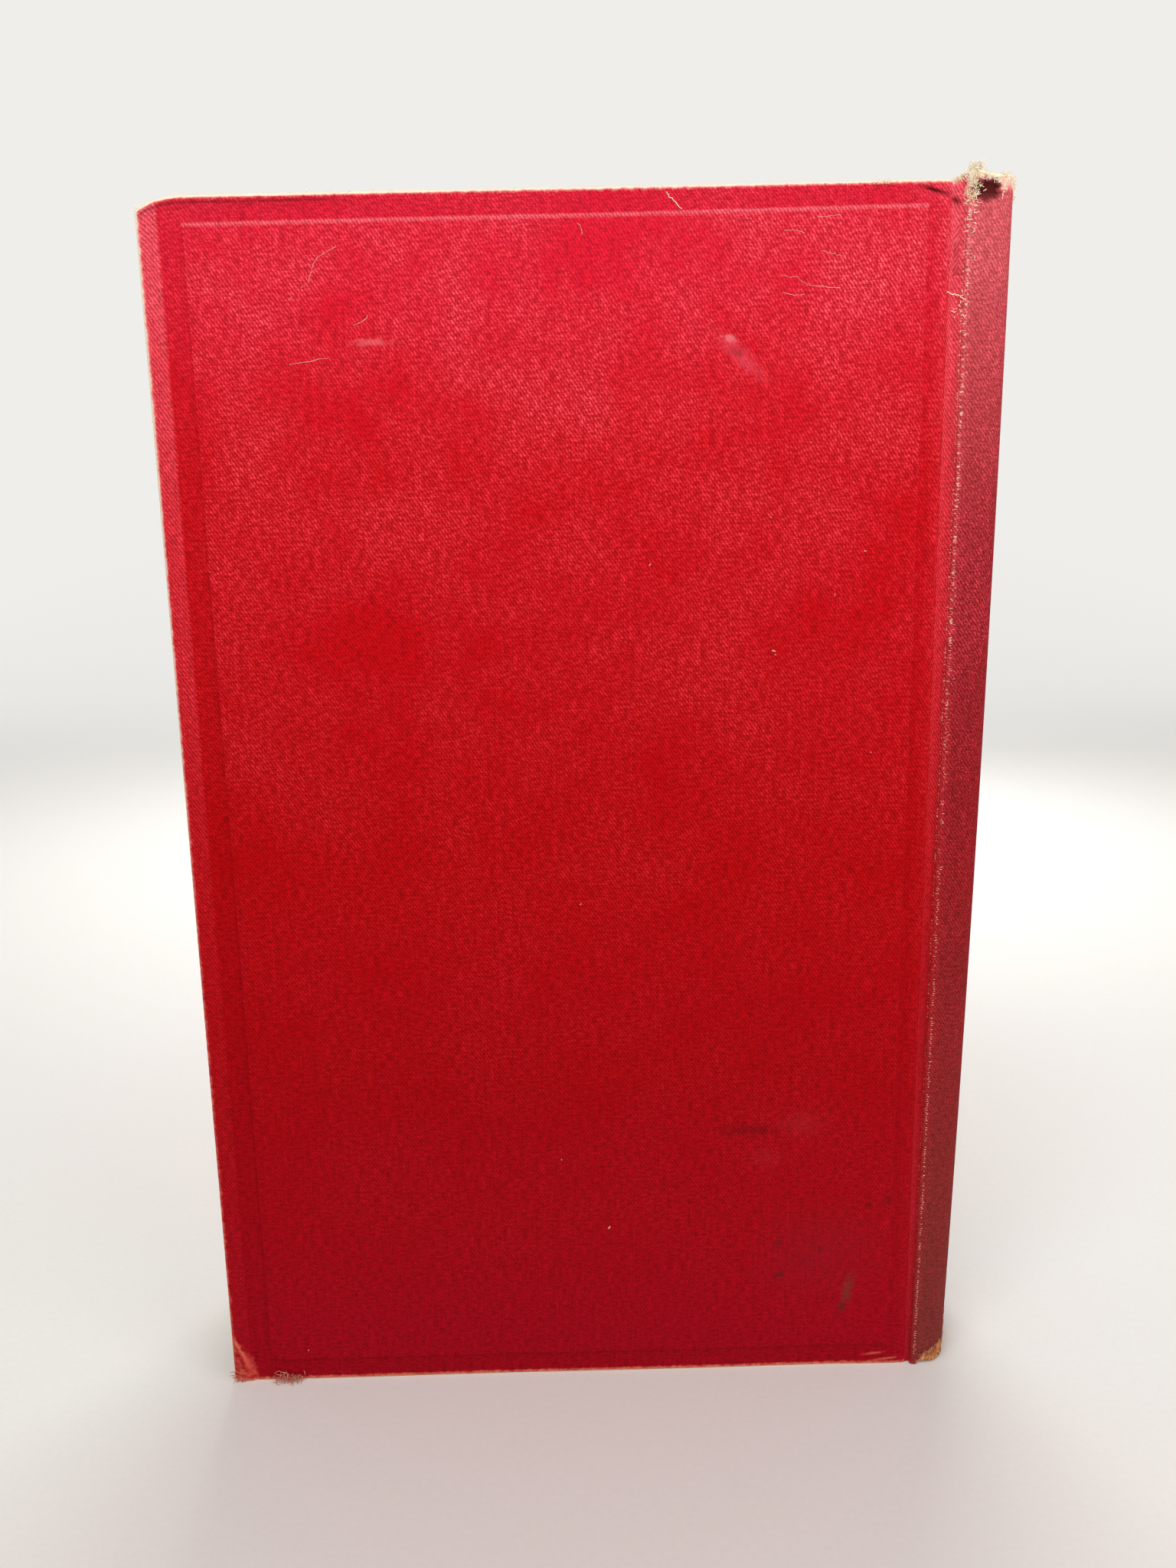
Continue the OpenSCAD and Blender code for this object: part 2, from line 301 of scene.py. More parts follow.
@dataclass(frozen=True)
class BookCloth:
    """Starch-filled dyed cotton cloth with an embossed diagonal rib: matt, a little shiny on the ribs,
    faded pink where light reached it and rubbed to bare thread along its edges. Its paling toward the head
    is partly painted light from above, and the pink on its rib crests is partly painted highlight."""

    name: str
    height: float
    rib_pitch: float = 0.54
    rib_angle: float = 57.0
    thread_pitch: float = 0.46
    slub_length: float = 1.3
    roughness: float = 0.78
    foil: tuple | None = None
    stains_and_shade: tuple = ()

    def build(self) -> Material:
        """Makes the material from the cloth's own unrolled millimetres.

        Returns:
            The material.
        """
        material, add = new_material(self.name)
        place = add("Attribute", out="Vector", attribute_name="cloth_mm")
        marks = {mark: add("Attribute", out="Fac", attribute_name=mark)
                 for mark in ("edge", "pressed", "sun", "rubbed", "soot", "ridge")}
        split = add("SeparateXYZ", {0: place}).node
        t = split.outputs[1]
        high = add("Math", {0: t, 1: 1 / self.height}, operation="MULTIPLY", use_clamp=True)
        cloth = ClothInputs(add, place, split.outputs[0], t, high, marks)
        rib, slub = self.rib(cloth), self.slub(cloth)
        colour = self.soiling_and_painted_shade(cloth, self.dye(cloth, rib, slub))
        if self.foil:
            colour = self.foil_panel(cloth, colour)
        colour = self.bare_thread(cloth, colour)
        relief = self.relief(cloth, rib, slub)
        bump = add("Bump", {"Strength": 0.8, "Distance": 0.1 * MM, "Height": relief})
        rough = add("MapRange", {0: slub, 3: self.roughness - 0.1, 4: self.roughness + 0.14})
        shader = add("BsdfPrincipled", {"Base Color": colour, "Roughness": rough, "Normal": bump,
                                        "IOR": 1.47, "Specular IOR Level": 0.06})
        add("OutputMaterial", {0: shader})
        return material

    def rib(self, cloth: ClothInputs) -> Socket:
        """Draws the diagonal rib, falling to the right. Real pitch 0.5 mm, drawn at 0.54 mm to show.

        Args:
            cloth: What the patterns are drawn from.

        Returns:
            0 in the valleys, 1 on the crests.
        """
        add, s, t, place = cloth.add, cloth.s, cloth.t, cloth.place
        turn = 2 * math.pi / self.rib_pitch
        angle = math.radians(self.rib_angle)
        across = add("Math", {0: s, 1: turn * math.sin(angle)}, operation="MULTIPLY")
        phase = add("Math", {0: t, 1: turn * math.cos(angle), 2: across}, operation="MULTIPLY_ADD")
        wander = add("TexNoise", {"Vector": place, "Scale": 0.35, "Detail": 3.0}, **FLAT)
        phase = add("Math", {0: wander, 1: 3.2, 2: phase}, operation="MULTIPLY_ADD")
        wave = add("Math", {0: phase}, operation="SINE")
        floats = add("Math", {0: s, 1: 2 * math.pi / self.thread_pitch}, operation="MULTIPLY")
        floats = add("Math", {0: floats}, operation="SINE")
        both = add("Math", {0: floats, 1: 0.3, 2: wave}, operation="MULTIPLY_ADD")
        return add("MapRange", {0: both, 1: -1.2, 2: 1.2})

    def slub(self, cloth: ClothInputs) -> Socket:
        """Draws thick and thin threads, longer across the cloth than up it, 0.4 mm by about 1.3 mm.

        Args:
            cloth: What the patterns are drawn from.

        Returns:
            Thickness of the threads from 0 to 1.
        """
        add, place = cloth.add, cloth.place
        stretched = add("VectorMath", {0: place, 1: (1 / self.slub_length, 2.1, 1.0)},
                        operation="MULTIPLY")
        weft = add("TexNoise", {"Vector": stretched, "Scale": 1.0, "Detail": 4.0, "Roughness": 0.68},
                   **FLAT)
        upright = add("VectorMath", {0: place, 1: (2.2, 0.3, 1.0)}, operation="MULTIPLY")
        warp = add("TexNoise", {"Vector": upright, "Scale": 1.0, "Detail": 2.0}, **FLAT)
        return add("Math", {0: warp, 1: 0.25, 2: add("Math", {0: weft, 1: 0.8}, operation="MULTIPLY")},
                   operation="MULTIPLY_ADD")

    def dye(self, cloth: ClothInputs, rib: Socket, slub: Socket) -> Socket:
        """Colours the cloth: its red, paler toward the head partly as painted light from above, and dusty
        brown-red on the spine, with painted highlight on the rib crests and painted shade in the rib
        valleys.

        Args:
            cloth: What the patterns are drawn from.
            rib: Crests of the rib.
            slub: Thickness of the threads.

        Returns:
            Colour socket.
        """
        add, place, high, marks = cloth.add, cloth.place, cloth.high, cloth.marks
        # Ramps by height: the paler head is partly sun fading and partly painted light falling from above.
        cover = add("ValToRGB", {0: high}, stops=((0.0, "#a3061a"), (1.0, "#e61c38"), (0.28, "#a9020c"),
                                                  (0.52, "#b80207"), (0.8, "#d00814"), (0.93, "#e2162e")))
        spine = add("ValToRGB", {0: high}, stops=((0.0, "#6c3630"), (1.0, "#d4545a"), (0.25, "#7a2624"),
                                                  (0.5, "#7c1416"), (0.72, "#841418"), (0.87, "#b2363a")))
        crest = add("ValToRGB", {0: high}, stops=((0.0, "#bc2630"), (1.0, "#ff7a86"), (0.45, "#dd2f3a"),
                                                  (0.75, "#f84e5e")))
        cloud = add("TexNoise", {"Vector": place, "Scale": 0.045, "Detail": 5.0, "Roughness": 0.62},
                    **FLAT)
        cloud = add("MapRange", {0: cloud, 1: 0.32, 2: 0.7})
        base = add("Mix", {0: marks["sun"], 6: cover, 7: spine}, **RGBA)
        glint = add("MapRange", {0: slub, 1: 0.5, 2: 0.66, 3: 0.25, 4: 1.1})
        # Pink on the rib crests, more toward the head: partly sun fading and partly painted highlight.
        fading_and_highlight = add("Math", {0: cloud, 1: rib}, operation="MULTIPLY")
        fading_and_highlight = add("Math", {0: fading_and_highlight, 1: glint}, operation="MULTIPLY")
        fading_and_highlight = add("Math", {0: fading_and_highlight, 1: high}, operation="MULTIPLY")
        kept = add("MapRange", {0: marks["pressed"], 3: 0.9, 4: 0.3})
        pale = add("Mix", {0: add("Math", {0: fading_and_highlight, 1: kept}, operation="MULTIPLY"), 6: base, 7: crest},
                   **RGBA)
        speck = add("TexNoise", {"Vector": place, "Scale": 3.2, "Detail": 3.0, "Roughness": 0.7}, **FLAT)
        speck = add("MapRange", {0: speck, 1: 0.54, 2: 0.66, 3: 0.0, 4: 0.7})
        dusty = add("MapRange", {0: marks["sun"], 3: 0.12, 4: 1.0})
        speck = add("Math", {0: speck, 1: dusty}, operation="MULTIPLY")
        pale = add("Mix", {0: speck, 6: pale, 7: crest}, **RGBA)
        rubbed = add("Math", {0: marks["rubbed"], 1: add("MapRange", {0: rib, 3: 0.35, 4: 0.85})},
                     operation="MULTIPLY")
        pale = add("Mix", {0: rubbed, 6: pale, 7: crest}, **RGBA)
        shade = add("MapRange", {0: slub, 1: 0.34, 2: 0.7, 3: 0.62, 4: 1.2})
        # Darkens the rib's valleys: painted shade.
        valley_shade = add("MapRange", {0: rib, 3: 0.78, 4: 1.1})
        shade = add("Math", {0: shade, 1: valley_shade}, operation="MULTIPLY")
        dark = add("MapRange", {0: marks["pressed"], 3: 1.0, 4: 0.93})
        shade = add("Math", {0: shade, 1: dark}, operation="MULTIPLY")
        return add("Mix", {0: 1.0, 6: pale, 7: add("CombineColor", {0: shade, 1: shade, 2: shade})},
                   **RGBA, blend_type="MULTIPLY")

    def soiling_and_painted_shade(self, cloth: ClothInputs, colour: Socket) -> Socket:
        """Adds drips, spots, smears and scuffs, and the painted shade of a crease, each broken up by the
        threads.

        Args:
            cloth: What the patterns are drawn from.
            colour: Colour so far.

        Returns:
            Colour socket.
        """
        add, place = cloth.add, cloth.place
        grit = add("TexNoise", {"Vector": place, "Scale": 0.9, "Detail": 6.0, "Roughness": 0.8}, **FLAT)
        for cloth_mark in self.stains_and_shade:
            turn = math.radians(cloth_mark.turn)
            away = add("Mapping", {"Vector": place, "Location": (cloth_mark.s, cloth_mark.t, 0),
                                   "Rotation": (0, 0, turn), "Scale": (cloth_mark.reach_s, cloth_mark.reach_t, 1)},
                       vector_type="TEXTURE")
            away = add("VectorMath", {0: away}, out="Value", operation="LENGTH")
            bite = 2.2 * cloth_mark.ragged
            ragged = add("Math", {0: grit, 1: -bite, 2: away}, operation="MULTIPLY_ADD")
            mask = add("MapRange", {0: ragged, 1: 1 - bite / 2, 2: 0.2 - bite / 2, 3: 0.0,
                                    4: cloth_mark.strength})
            colour = add("Mix", {0: mask, 6: colour, 7: linear(cloth_mark.colour)}, **RGBA)
        return colour

    def foil_panel(self, cloth: ClothInputs, colour: Socket) -> Socket:
        """Adds a plain panel of tarnished foil across the spine, with a thin border and nothing on it.

        Args:
            cloth: What the patterns are drawn from.
            colour: Colour so far.

        Returns:
            Colour socket.
        """
        add, s, t, place = cloth.add, cloth.s, cloth.t, cloth.place
        middle_s, middle_t, half_s, half_t, border = self.foil
        rub = add("TexNoise", {"Vector": place, "Scale": 1.9, "Detail": 4.0}, **FLAT)
        kept = add("MapRange", {0: rub, 1: 0.36, 2: 0.52})
        for inset, code, strength in ((0.0, "#5d3f22", 0.9), (border, "#8a4a33", 0.75)):
            wide = add("Math", {0: s, 1: middle_s, 2: half_s - inset}, operation="COMPARE")
            tall = add("Math", {0: t, 1: middle_t, 2: half_t - inset}, operation="COMPARE")
            mask = add("Math", {0: wide, 1: tall}, operation="MULTIPLY")
            mask = add("Math", {0: mask, 1: kept}, operation="MULTIPLY")
            mask = add("Math", {0: mask, 1: strength}, operation="MULTIPLY")
            colour = add("Mix", {0: mask, 6: colour, 7: linear(code)}, **RGBA)
        return colour

    def bare_thread(self, cloth: ClothInputs, colour: Socket) -> Socket:
        """Wears the dye off edges and ridges down to pink and then to cream cotton, and paints shade into
        the spine's head pocket and along the crease under a cover's head edge.

        Args:
            cloth: What the patterns are drawn from.
            colour: Colour so far.

        Returns:
            Colour socket.
        """
        add, place, high, marks = cloth.add, cloth.place, cloth.high, cloth.marks
        grain = add("TexNoise", {"Vector": place, "Scale": 0.8, "Detail": 5.0, "Roughness": 0.7}, **FLAT)
        run = add("VectorMath", {0: place, 1: (0.9, 2.6, 1.0)}, operation="MULTIPLY")
        fleck = add("TexNoise", {"Vector": run, "Scale": 1.0, "Detail": 3.0, "Roughness": 0.6}, **FLAT)
        level = add("Math", {0: grain, 1: 0.9, 2: marks["edge"]}, operation="MULTIPLY_ADD")
        pinked = add("MapRange", {0: level, 1: 0.8, 2: 1.15, 3: 0.0, 4: 0.85})
        bared = add("MapRange", {0: level, 1: 1.12, 2: 1.4, 3: 0.0, 4: 0.95})
        specks = add("Math", {0: fleck, 1: 0.75, 2: marks["ridge"]}, operation="MULTIPLY_ADD")
        specks = add("MapRange", {0: specks, 1: 1.0, 2: 1.12, 3: 0.0, 4: 0.85})
        pink = add("ValToRGB", {0: high}, stops=((0.0, "#d8604c"), (1.0, "#f79492"), (0.4, "#d85a54")))
        cream = add("ValToRGB", {0: high}, stops=((0.0, "#dd9570"), (1.0, "#fbecd0"), (0.4, "#e0ae92")))
        for mask, tone in ((pinked, pink), (bared, cream), (specks, cream)):
            colour = add("Mix", {0: mask, 6: colour, 7: tone}, **RGBA)
        # Painted shade: dark brown-red where the shade mark lies, in the spine's head pocket and along the
        # cover's head crease.
        return add("Mix", {0: marks["soot"], 6: colour, 7: linear("#43150e")}, **RGBA)

    def relief(self, cloth: ClothInputs, rib: Socket, slub: Socket) -> Socket:
        """Raises rib and threads, flatter where the stamping block pressed them.

        Args:
            cloth: What the patterns are drawn from.
            rib: Crests of the rib.
            slub: Thickness of the threads.

        Returns:
            Height socket from about 0 to 2.
        """
        add, place, marks = cloth.add, cloth.place, cloth.marks
        flat = add("MapRange", {0: marks["pressed"], 3: 0.55, 4: 0.2})
        ribs = add("Math", {0: rib, 1: flat}, operation="MULTIPLY")
        threads = add("Math", {0: slub, 1: 1.3, 2: ribs}, operation="MULTIPLY_ADD")
        grain = add("TexNoise", {"Vector": place, "Scale": 2.6, "Detail": 2.0}, **FLAT)
        return add("Math", {0: grain, 1: 0.5, 2: threads}, operation="MULTIPLY_ADD")


class Grain(Enum):
    """How a plain finish varies over its surface: the stretch of its pattern along X, Y and Z."""

    EVEN = (1.0, 1.0, 1.0)
    LEAVES = (0.02, 2.4, 0.012)
    UPRIGHT = (2.2, 2.2, 0.18)
    WOVEN = (0.6, 0.6, 3.2)


@dataclass(frozen=True)
class FibreFinish:
    """Paper, board or cotton: two tones of one colour, mixed by a grain of known size, with age spots."""

    name: str
    light: str
    dark: str
    grain: Grain = Grain.EVEN
    grain_mm: float = 1.0
    contrast: tuple = (0.35, 0.65)
    spots: str = "#a07a4a"
    spot_mm: float = 6.0
    spot_share: float = 0.25
    roughness: float = 0.85
    relief_mm: float = 0.06

    def build(self) -> Material:
        """Makes the material from the piece's own metres.

        Returns:
            The material.
        """
        material, add = new_material(self.name)
        place = add("TexCoord", out="Object")
        scale = tuple(g / (self.grain_mm * MM) for g in self.grain.value)
        stretched = add("VectorMath", {0: place, 1: scale}, operation="MULTIPLY")
        grain = add("TexNoise", {"Vector": stretched, "Scale": 1.0, "Detail": 5.0, "Roughness": 0.65})
        mix = add("MapRange", {0: grain, 1: self.contrast[0], 2: self.contrast[1]})
        colour = add("Mix", {0: mix, 6: linear(self.dark), 7: linear(self.light)}, **RGBA)
        age = add("TexNoise", {"Vector": place, "Scale": 1 / (self.spot_mm * MM), "Detail": 4.0,
                               "Roughness": 0.7})
        aged = add("MapRange", {0: age, 1: 0.5, 2: 0.78, 3: 0.0, 4: self.spot_share})
        colour = add("Mix", {0: aged, 6: colour, 7: linear(self.spots)}, **RGBA)
        bump = add("Bump", {"Strength": 0.8, "Distance": self.relief_mm * MM, "Height": grain})
        shader = add("BsdfPrincipled", {"Base Color": colour, "Roughness": self.roughness, "Normal": bump,
                                        "IOR": 1.47, "Specular IOR Level": 0.25})
        add("OutputMaterial", {0: shader})
        return material


@dataclass
class CaseSection:
    """The cloth's line across the case, read from the frame, in millimetres.

    u runs from the fore edge to the spine, v outward from the middle leaf and z up.
    """

    fore_x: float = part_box("back_cloth")[0].x / MM
    joint_u: float = (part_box("back_cloth")[1].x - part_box("back_cloth")[0].x) / MM
    height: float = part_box("back_cloth")[1].z / MM
    face_v: float = -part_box("back_cloth")[0].y / MM
    turn_v: float = -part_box("back_cloth")[1].y / MM
    crest_x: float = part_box("spine_cloth")[1].x / MM
    hinge_x: float = frame["joints"][0]["pos_m"][0] / MM
    hinge_v: float = -frame["joints"][0]["pos_m"][1] / MM
    stamp_depth: float = 0.35
    rim_w: float = 3.8
    band_fore_w: float = 3.8
    band_head_w: float = 4.6
    band_tail_w: float = 4.7
    band_joint_w: float = 3.9
    groove_r: float = 1.5
    slope_deg: float = -135.0
    ridge_r: float = 0.8
    ridge_v: float = 18.15
    arris_r: float = 0.6
    edge_r: float = 0.7
    cloth_t: float = 0.33
    lean: float = 1.45
    lean_power: float = 1.7
    squeeze: float = 1.35
    squeeze_power: float = 2.6
    corner_u: float = 145.4
    corner_r: float = 3.6
    knee_v: float = 5.0
    knee_r: float = 9.0

    @property
    def hinge_u(self) -> float:
        """Hinge line's place along u."""
        return self.hinge_x - self.fore_x

    @property
    def crest_u(self) -> float:
        """Middle of the spine along u."""
        return self.crest_x - self.fore_x

    @property
    def groove_end(self) -> float:
        """Angle, in degrees about the hinge line, at which the groove meets the ridge."""
        ridge_u, ridge_v = self.ridge_centre
        return math.degrees(math.atan2(ridge_v - self.hinge_v, ridge_u - self.hinge_u))

    @property
    def ridge_centre(self) -> tuple[float, float]:
        """Middle of the ridge's bead: its circle touches the groove's.

        Returns:
            Its u, v.
        """
        drop = self.hinge_v - self.ridge_v
        reach = self.groove_r + self.ridge_r
        return self.hinge_u + math.sqrt(reach * reach - drop * drop), self.ridge_v

    @property
    def spine_circle(self) -> tuple[float, float]:
        """The spine's round, which the ridge's bead touches from inside.

        Returns:
            Its middle along u and its radius.
        """
        ridge_u, ridge_v = self.ridge_centre
        gap = self.crest_u - ridge_u - self.ridge_r
        span = gap + self.ridge_r
        radius = (span * span + ridge_v * ridge_v - self.ridge_r ** 2) / (2 * (span - self.ridge_r))
        return self.crest_u - radius, radius

    @property
    def ridge_angle(self) -> float:
        """Angle at the middle of the spine's round between its crest and the top of the ridge.

        Returns:
            Degrees.
        """
        centre_u = self.spine_circle[0]
        ridge_u, ridge_v = self.ridge_centre
        return math.degrees(math.atan2(ridge_v + self.ridge_r, ridge_u - centre_u))

    def world(self, points: Array, side: Side) -> Array:
        """Turns rows of u, v, z into the frame's X, Y, Z in millimetres, v being outward on that side."""
        points = np.asarray(points, float)
        return np.stack([points[..., 0] + self.fore_x, side.value * points[..., 1], points[..., 2]], -1)

    def leaned(self, u: Array, z: Array, share: Array) -> Array:
        """Moves the spine toward the board near the tail, where the worn book leans and is squeezed.

        Args:
            u: Places across.
            z: Heights.
            share: How much of the lean each place takes.

        Returns:
            Leaned places across.
        """
        down = np.clip(1 - z / self.height, 0, 1)
        past = smooth(u, self.ridge_centre[0] + 1, self.corner_u)
        leant = u - self.lean * share * down ** self.lean_power
        return leant - self.squeeze * past * down ** self.squeeze_power

    def seam(self) -> tuple[float, float]:
        """Where the cover's cloth ends and the joint's begins, on the slope into the groove.

        Returns:
            Its u, v.
        """
        slope = math.radians(self.slope_deg)
        low = (self.hinge_u + self.groove_r * math.cos(slope),
               self.hinge_v + self.groove_r * math.sin(slope))
        high = self.arris(45.0)
        return (low[0] + high[0]) / 2, (low[1] + high[1]) / 2

    def arris(self, degrees: float) -> tuple[float, float]:
        """A point on the board's rounded spine edge.

        Args:
            degrees: 90 faces outward, 0 toward the spine.

        Returns:
            Its u, v.
        """
        angle = math.radians(degrees)
        top = self.face_v - self.stamp_depth
        return (self.joint_u - self.arris_r * (1 - math.cos(angle)),
                top - self.arris_r * (1 - math.sin(angle)))

    def groove_line(self, steps: int) -> Array:
        """Cloth in the groove, from the seam to the foot of the ridge.

        Args:
            steps: Number of points on the arc.

        Returns:
            Rows of u, v.
        """
        angles = np.radians(np.linspace(self.slope_deg, self.groove_end, steps))
        arc = np.stack([self.hinge_u + self.groove_r * np.cos(angles),
                        self.hinge_v + self.groove_r * np.sin(angles)], -1)
        return np.vstack([[self.seam()], arc])

    def half_spine_line(self, bead_steps: int, round_steps: int) -> Array:
        """Cloth from the foot of the ridge over its bead to the spine's crest.

        The worn spine has flattened into a soft box: it leaves the ridge level with the cover, turns a
        rounded corner, and its flank runs nearly straight to the rounded crest.

        Args:
            bead_steps: Points on the ridge.
            round_steps: Points on the round.

        Returns:
            Rows of u, v.
        """
        ridge_u, ridge_v = self.ridge_centre
        bead = np.radians(np.linspace(self.groove_end + 180, 90, bead_steps))
        bead = np.stack([ridge_u + self.ridge_r * np.cos(bead), ridge_v + self.ridge_r * np.sin(bead)], -1)
        crest = self.crest_u
        curve = rounded([bead[-1], (self.corner_u, bead[-1, 1]), (crest, self.knee_v), (crest, 0.0)],
                        [self.corner_r, self.knee_r])
        lengths = line_lengths(curve)
        even = np.linspace(0, lengths[-1], round_steps)[1:]
        back = np.stack([np.interp(even, lengths, curve[:, k]) for k in (0, 1)], -1)
        return np.vstack([bead, back])

    @cached_property
    def spine_table(self) -> Array:
        """Outer cloth of half the spine, at close steps.

        Returns:
            Rows of degrees from the crest, u, v, and inward u, v directions.
        """
        line = self.half_spine_line(9, 160)
        degrees = np.degrees(np.arctan2(line[:, 1], line[:, 0] - self.spine_circle[0]))
        return np.column_stack([degrees, line, inward_normals(line)])[::-1]

    def spine_shape(self, degrees: Array) -> tuple[Array, Array]:
        """Places on the spine's cloth at angles about the middle of its round.

        Args:
            degrees: Angles from the crest, positive toward the cover that v follows.

        Returns:
            Rows of u, v, and rows of unit u, v directions into the book.
        """
        degrees = np.atleast_1d(np.asarray(degrees, float))
        table = self.spine_table
        found = np.stack([np.interp(np.abs(degrees), table[:, 0], table[:, k]) for k in (1, 2, 3, 4)], -1)
        found[:, (1, 3)] *= np.where(degrees < 0, -1, 1)[:, None]
        return found[:, :2], found[:, 2:]


def rounded(corners: list, radii: list) -> Array:
    """Draws a line through corners, with an arc at each one between its ends.

    Args:
        corners: Places as pairs of u, v.
        radii: Radius of the arc at each inner corner.

    Returns:
        Rows of u, v.
    """
    corners = np.asarray(corners, float)
    points = [corners[0]]
    for before, corner, after, radius in zip(corners, corners[1:], corners[2:], radii):
        arrive, leave = (corner - before, after - corner)
        arrive, leave = arrive / np.linalg.norm(arrive), leave / np.linalg.norm(leave)
        turn = math.acos(float(arrive @ leave))
        start = corner - arrive * radius * math.tan(turn / 2)
        side = leave - arrive * float(arrive @ leave)
        side /= np.linalg.norm(side)
        points += [start + radius * (math.sin(a) * arrive + (1 - math.cos(a)) * side)
                   for a in np.linspace(0, turn, 24)]
    return np.vstack([points, corners[-1:]])


def line_lengths(line: Array) -> Array:
    """Distance along a line of points, from its first point."""
    return np.concatenate([[0], np.cumsum(np.linalg.norm(np.diff(line, axis=0), axis=1))])


def inward_normals(line: Array) -> Array:
    """Directions into the book across a line that runs from the fore edge toward the spine.

    Args:
        line: Rows of u, v.

    Returns:
        Rows of unit u, v directions.
    """
    along = np.gradient(line, axis=0)
    along /= np.linalg.norm(along, axis=1, keepdims=True)
    return np.stack([along[:, 1], -along[:, 0]], -1)


@dataclass
class ClothGrid:
    """A sheet of the case's cloth as columns and rows, with folds added along its borders."""

    section: CaseSection
    side: Side
    columns: Array
    s: Array
    t: Array
    marks: dict
    parts: MeshParts = field(default_factory=MeshParts)

    def lay(self) -> Array:
        """Adds the sheet itself.

        Returns:
            Corner numbers by column and row.
        """
        quads = grid_faces(*self.s.shape, flipped=self.side is Side.BACK)
        marks = {name: value.ravel() for name, value in self.marks.items()}
        self.add(self.columns.reshape(-1, 3), self.s.ravel(), self.t.ravel(), marks, quads)
        return np.arange(self.s.size).reshape(self.s.shape)

    def add(self, points: Array, s: Array, t: Array, marks: dict, quads: list) -> int:
        """Adds rows of u, v, z with cloth places and marks, and hands back the first corner's number."""
        place = np.stack([s, t, np.zeros_like(s)], -1)
        return self.parts.add(self.section.world(points, self.side), quads, cloth_mm=place, **marks)

    def fold(self, border: Array, rings: list) -> None:
        """Adds rings of corners beyond a border.

        Args:
            border: Corner numbers along the border, in the order that keeps the faces outward.
            rings: The rings from the border on, each a tuple of points, s, t and marks.
        """
        before = np.asarray(border)
        for ring in rings:
            after = self.add(*ring, []) + np.arange(len(before))
            for k in range(len(before) - 1):
                quad = [int(i) for i in (before[k], before[k + 1], after[k + 1], after[k])]
                self.parts.faces.append(tuple(quad[::-1] if self.side is Side.BACK else quad))
            before = after


def fold_steps(radius: float, depth: float, lengths: tuple[float, ...]) -> list[tuple[float, float, float]]:
    """Profile of a folded edge: round, straight side, round, and the turned-in flap.

    Args:
        radius: Radius of both rounds.
        depth: Distance between the outer and the turned-in surface.
        lengths: Distances of the flap's rings from the fold.

    Returns:
        Rows of reach beyond the border, share of the depth reached and length along the cloth.
    """
    steps = []
    for angle in np.radians([20, 40, 60, 90]):
        steps.append((radius * math.sin(angle), radius * (1 - math.cos(angle)), radius * angle))
    length = radius * math.pi / 2
    side = depth - 2 * radius
    if side > radius:
        steps.append((radius, radius + side / 2, length + side / 2))
    if side > 0.05:
        steps.append((radius, radius + side, length + side))
    length += max(side, 0)
    for angle in np.radians([60, 30, 0]):
        steps.append((radius * math.sin(angle), depth - radius * (1 - math.cos(angle)),
                      length + radius * (math.pi / 2 - angle)))
    length += radius * math.pi / 2
    steps += [(-reach, depth, length + reach) for reach in lengths]
    return [(reach, down / depth, along) for reach, down, along in steps]


# Wear of each ring of a folded edge, from the face over the edge to the flap, and of the rings beyond.
EDGE_WEAR = {0: 0.66, 1: 0.88, 2: 1.0, 3: 0.98, 4: 0.8, 5: 0.75, 6: 0.6, 7: 0.4}
FLAP_WEAR, END_FLAP_WEAR = 0.12, 0.1


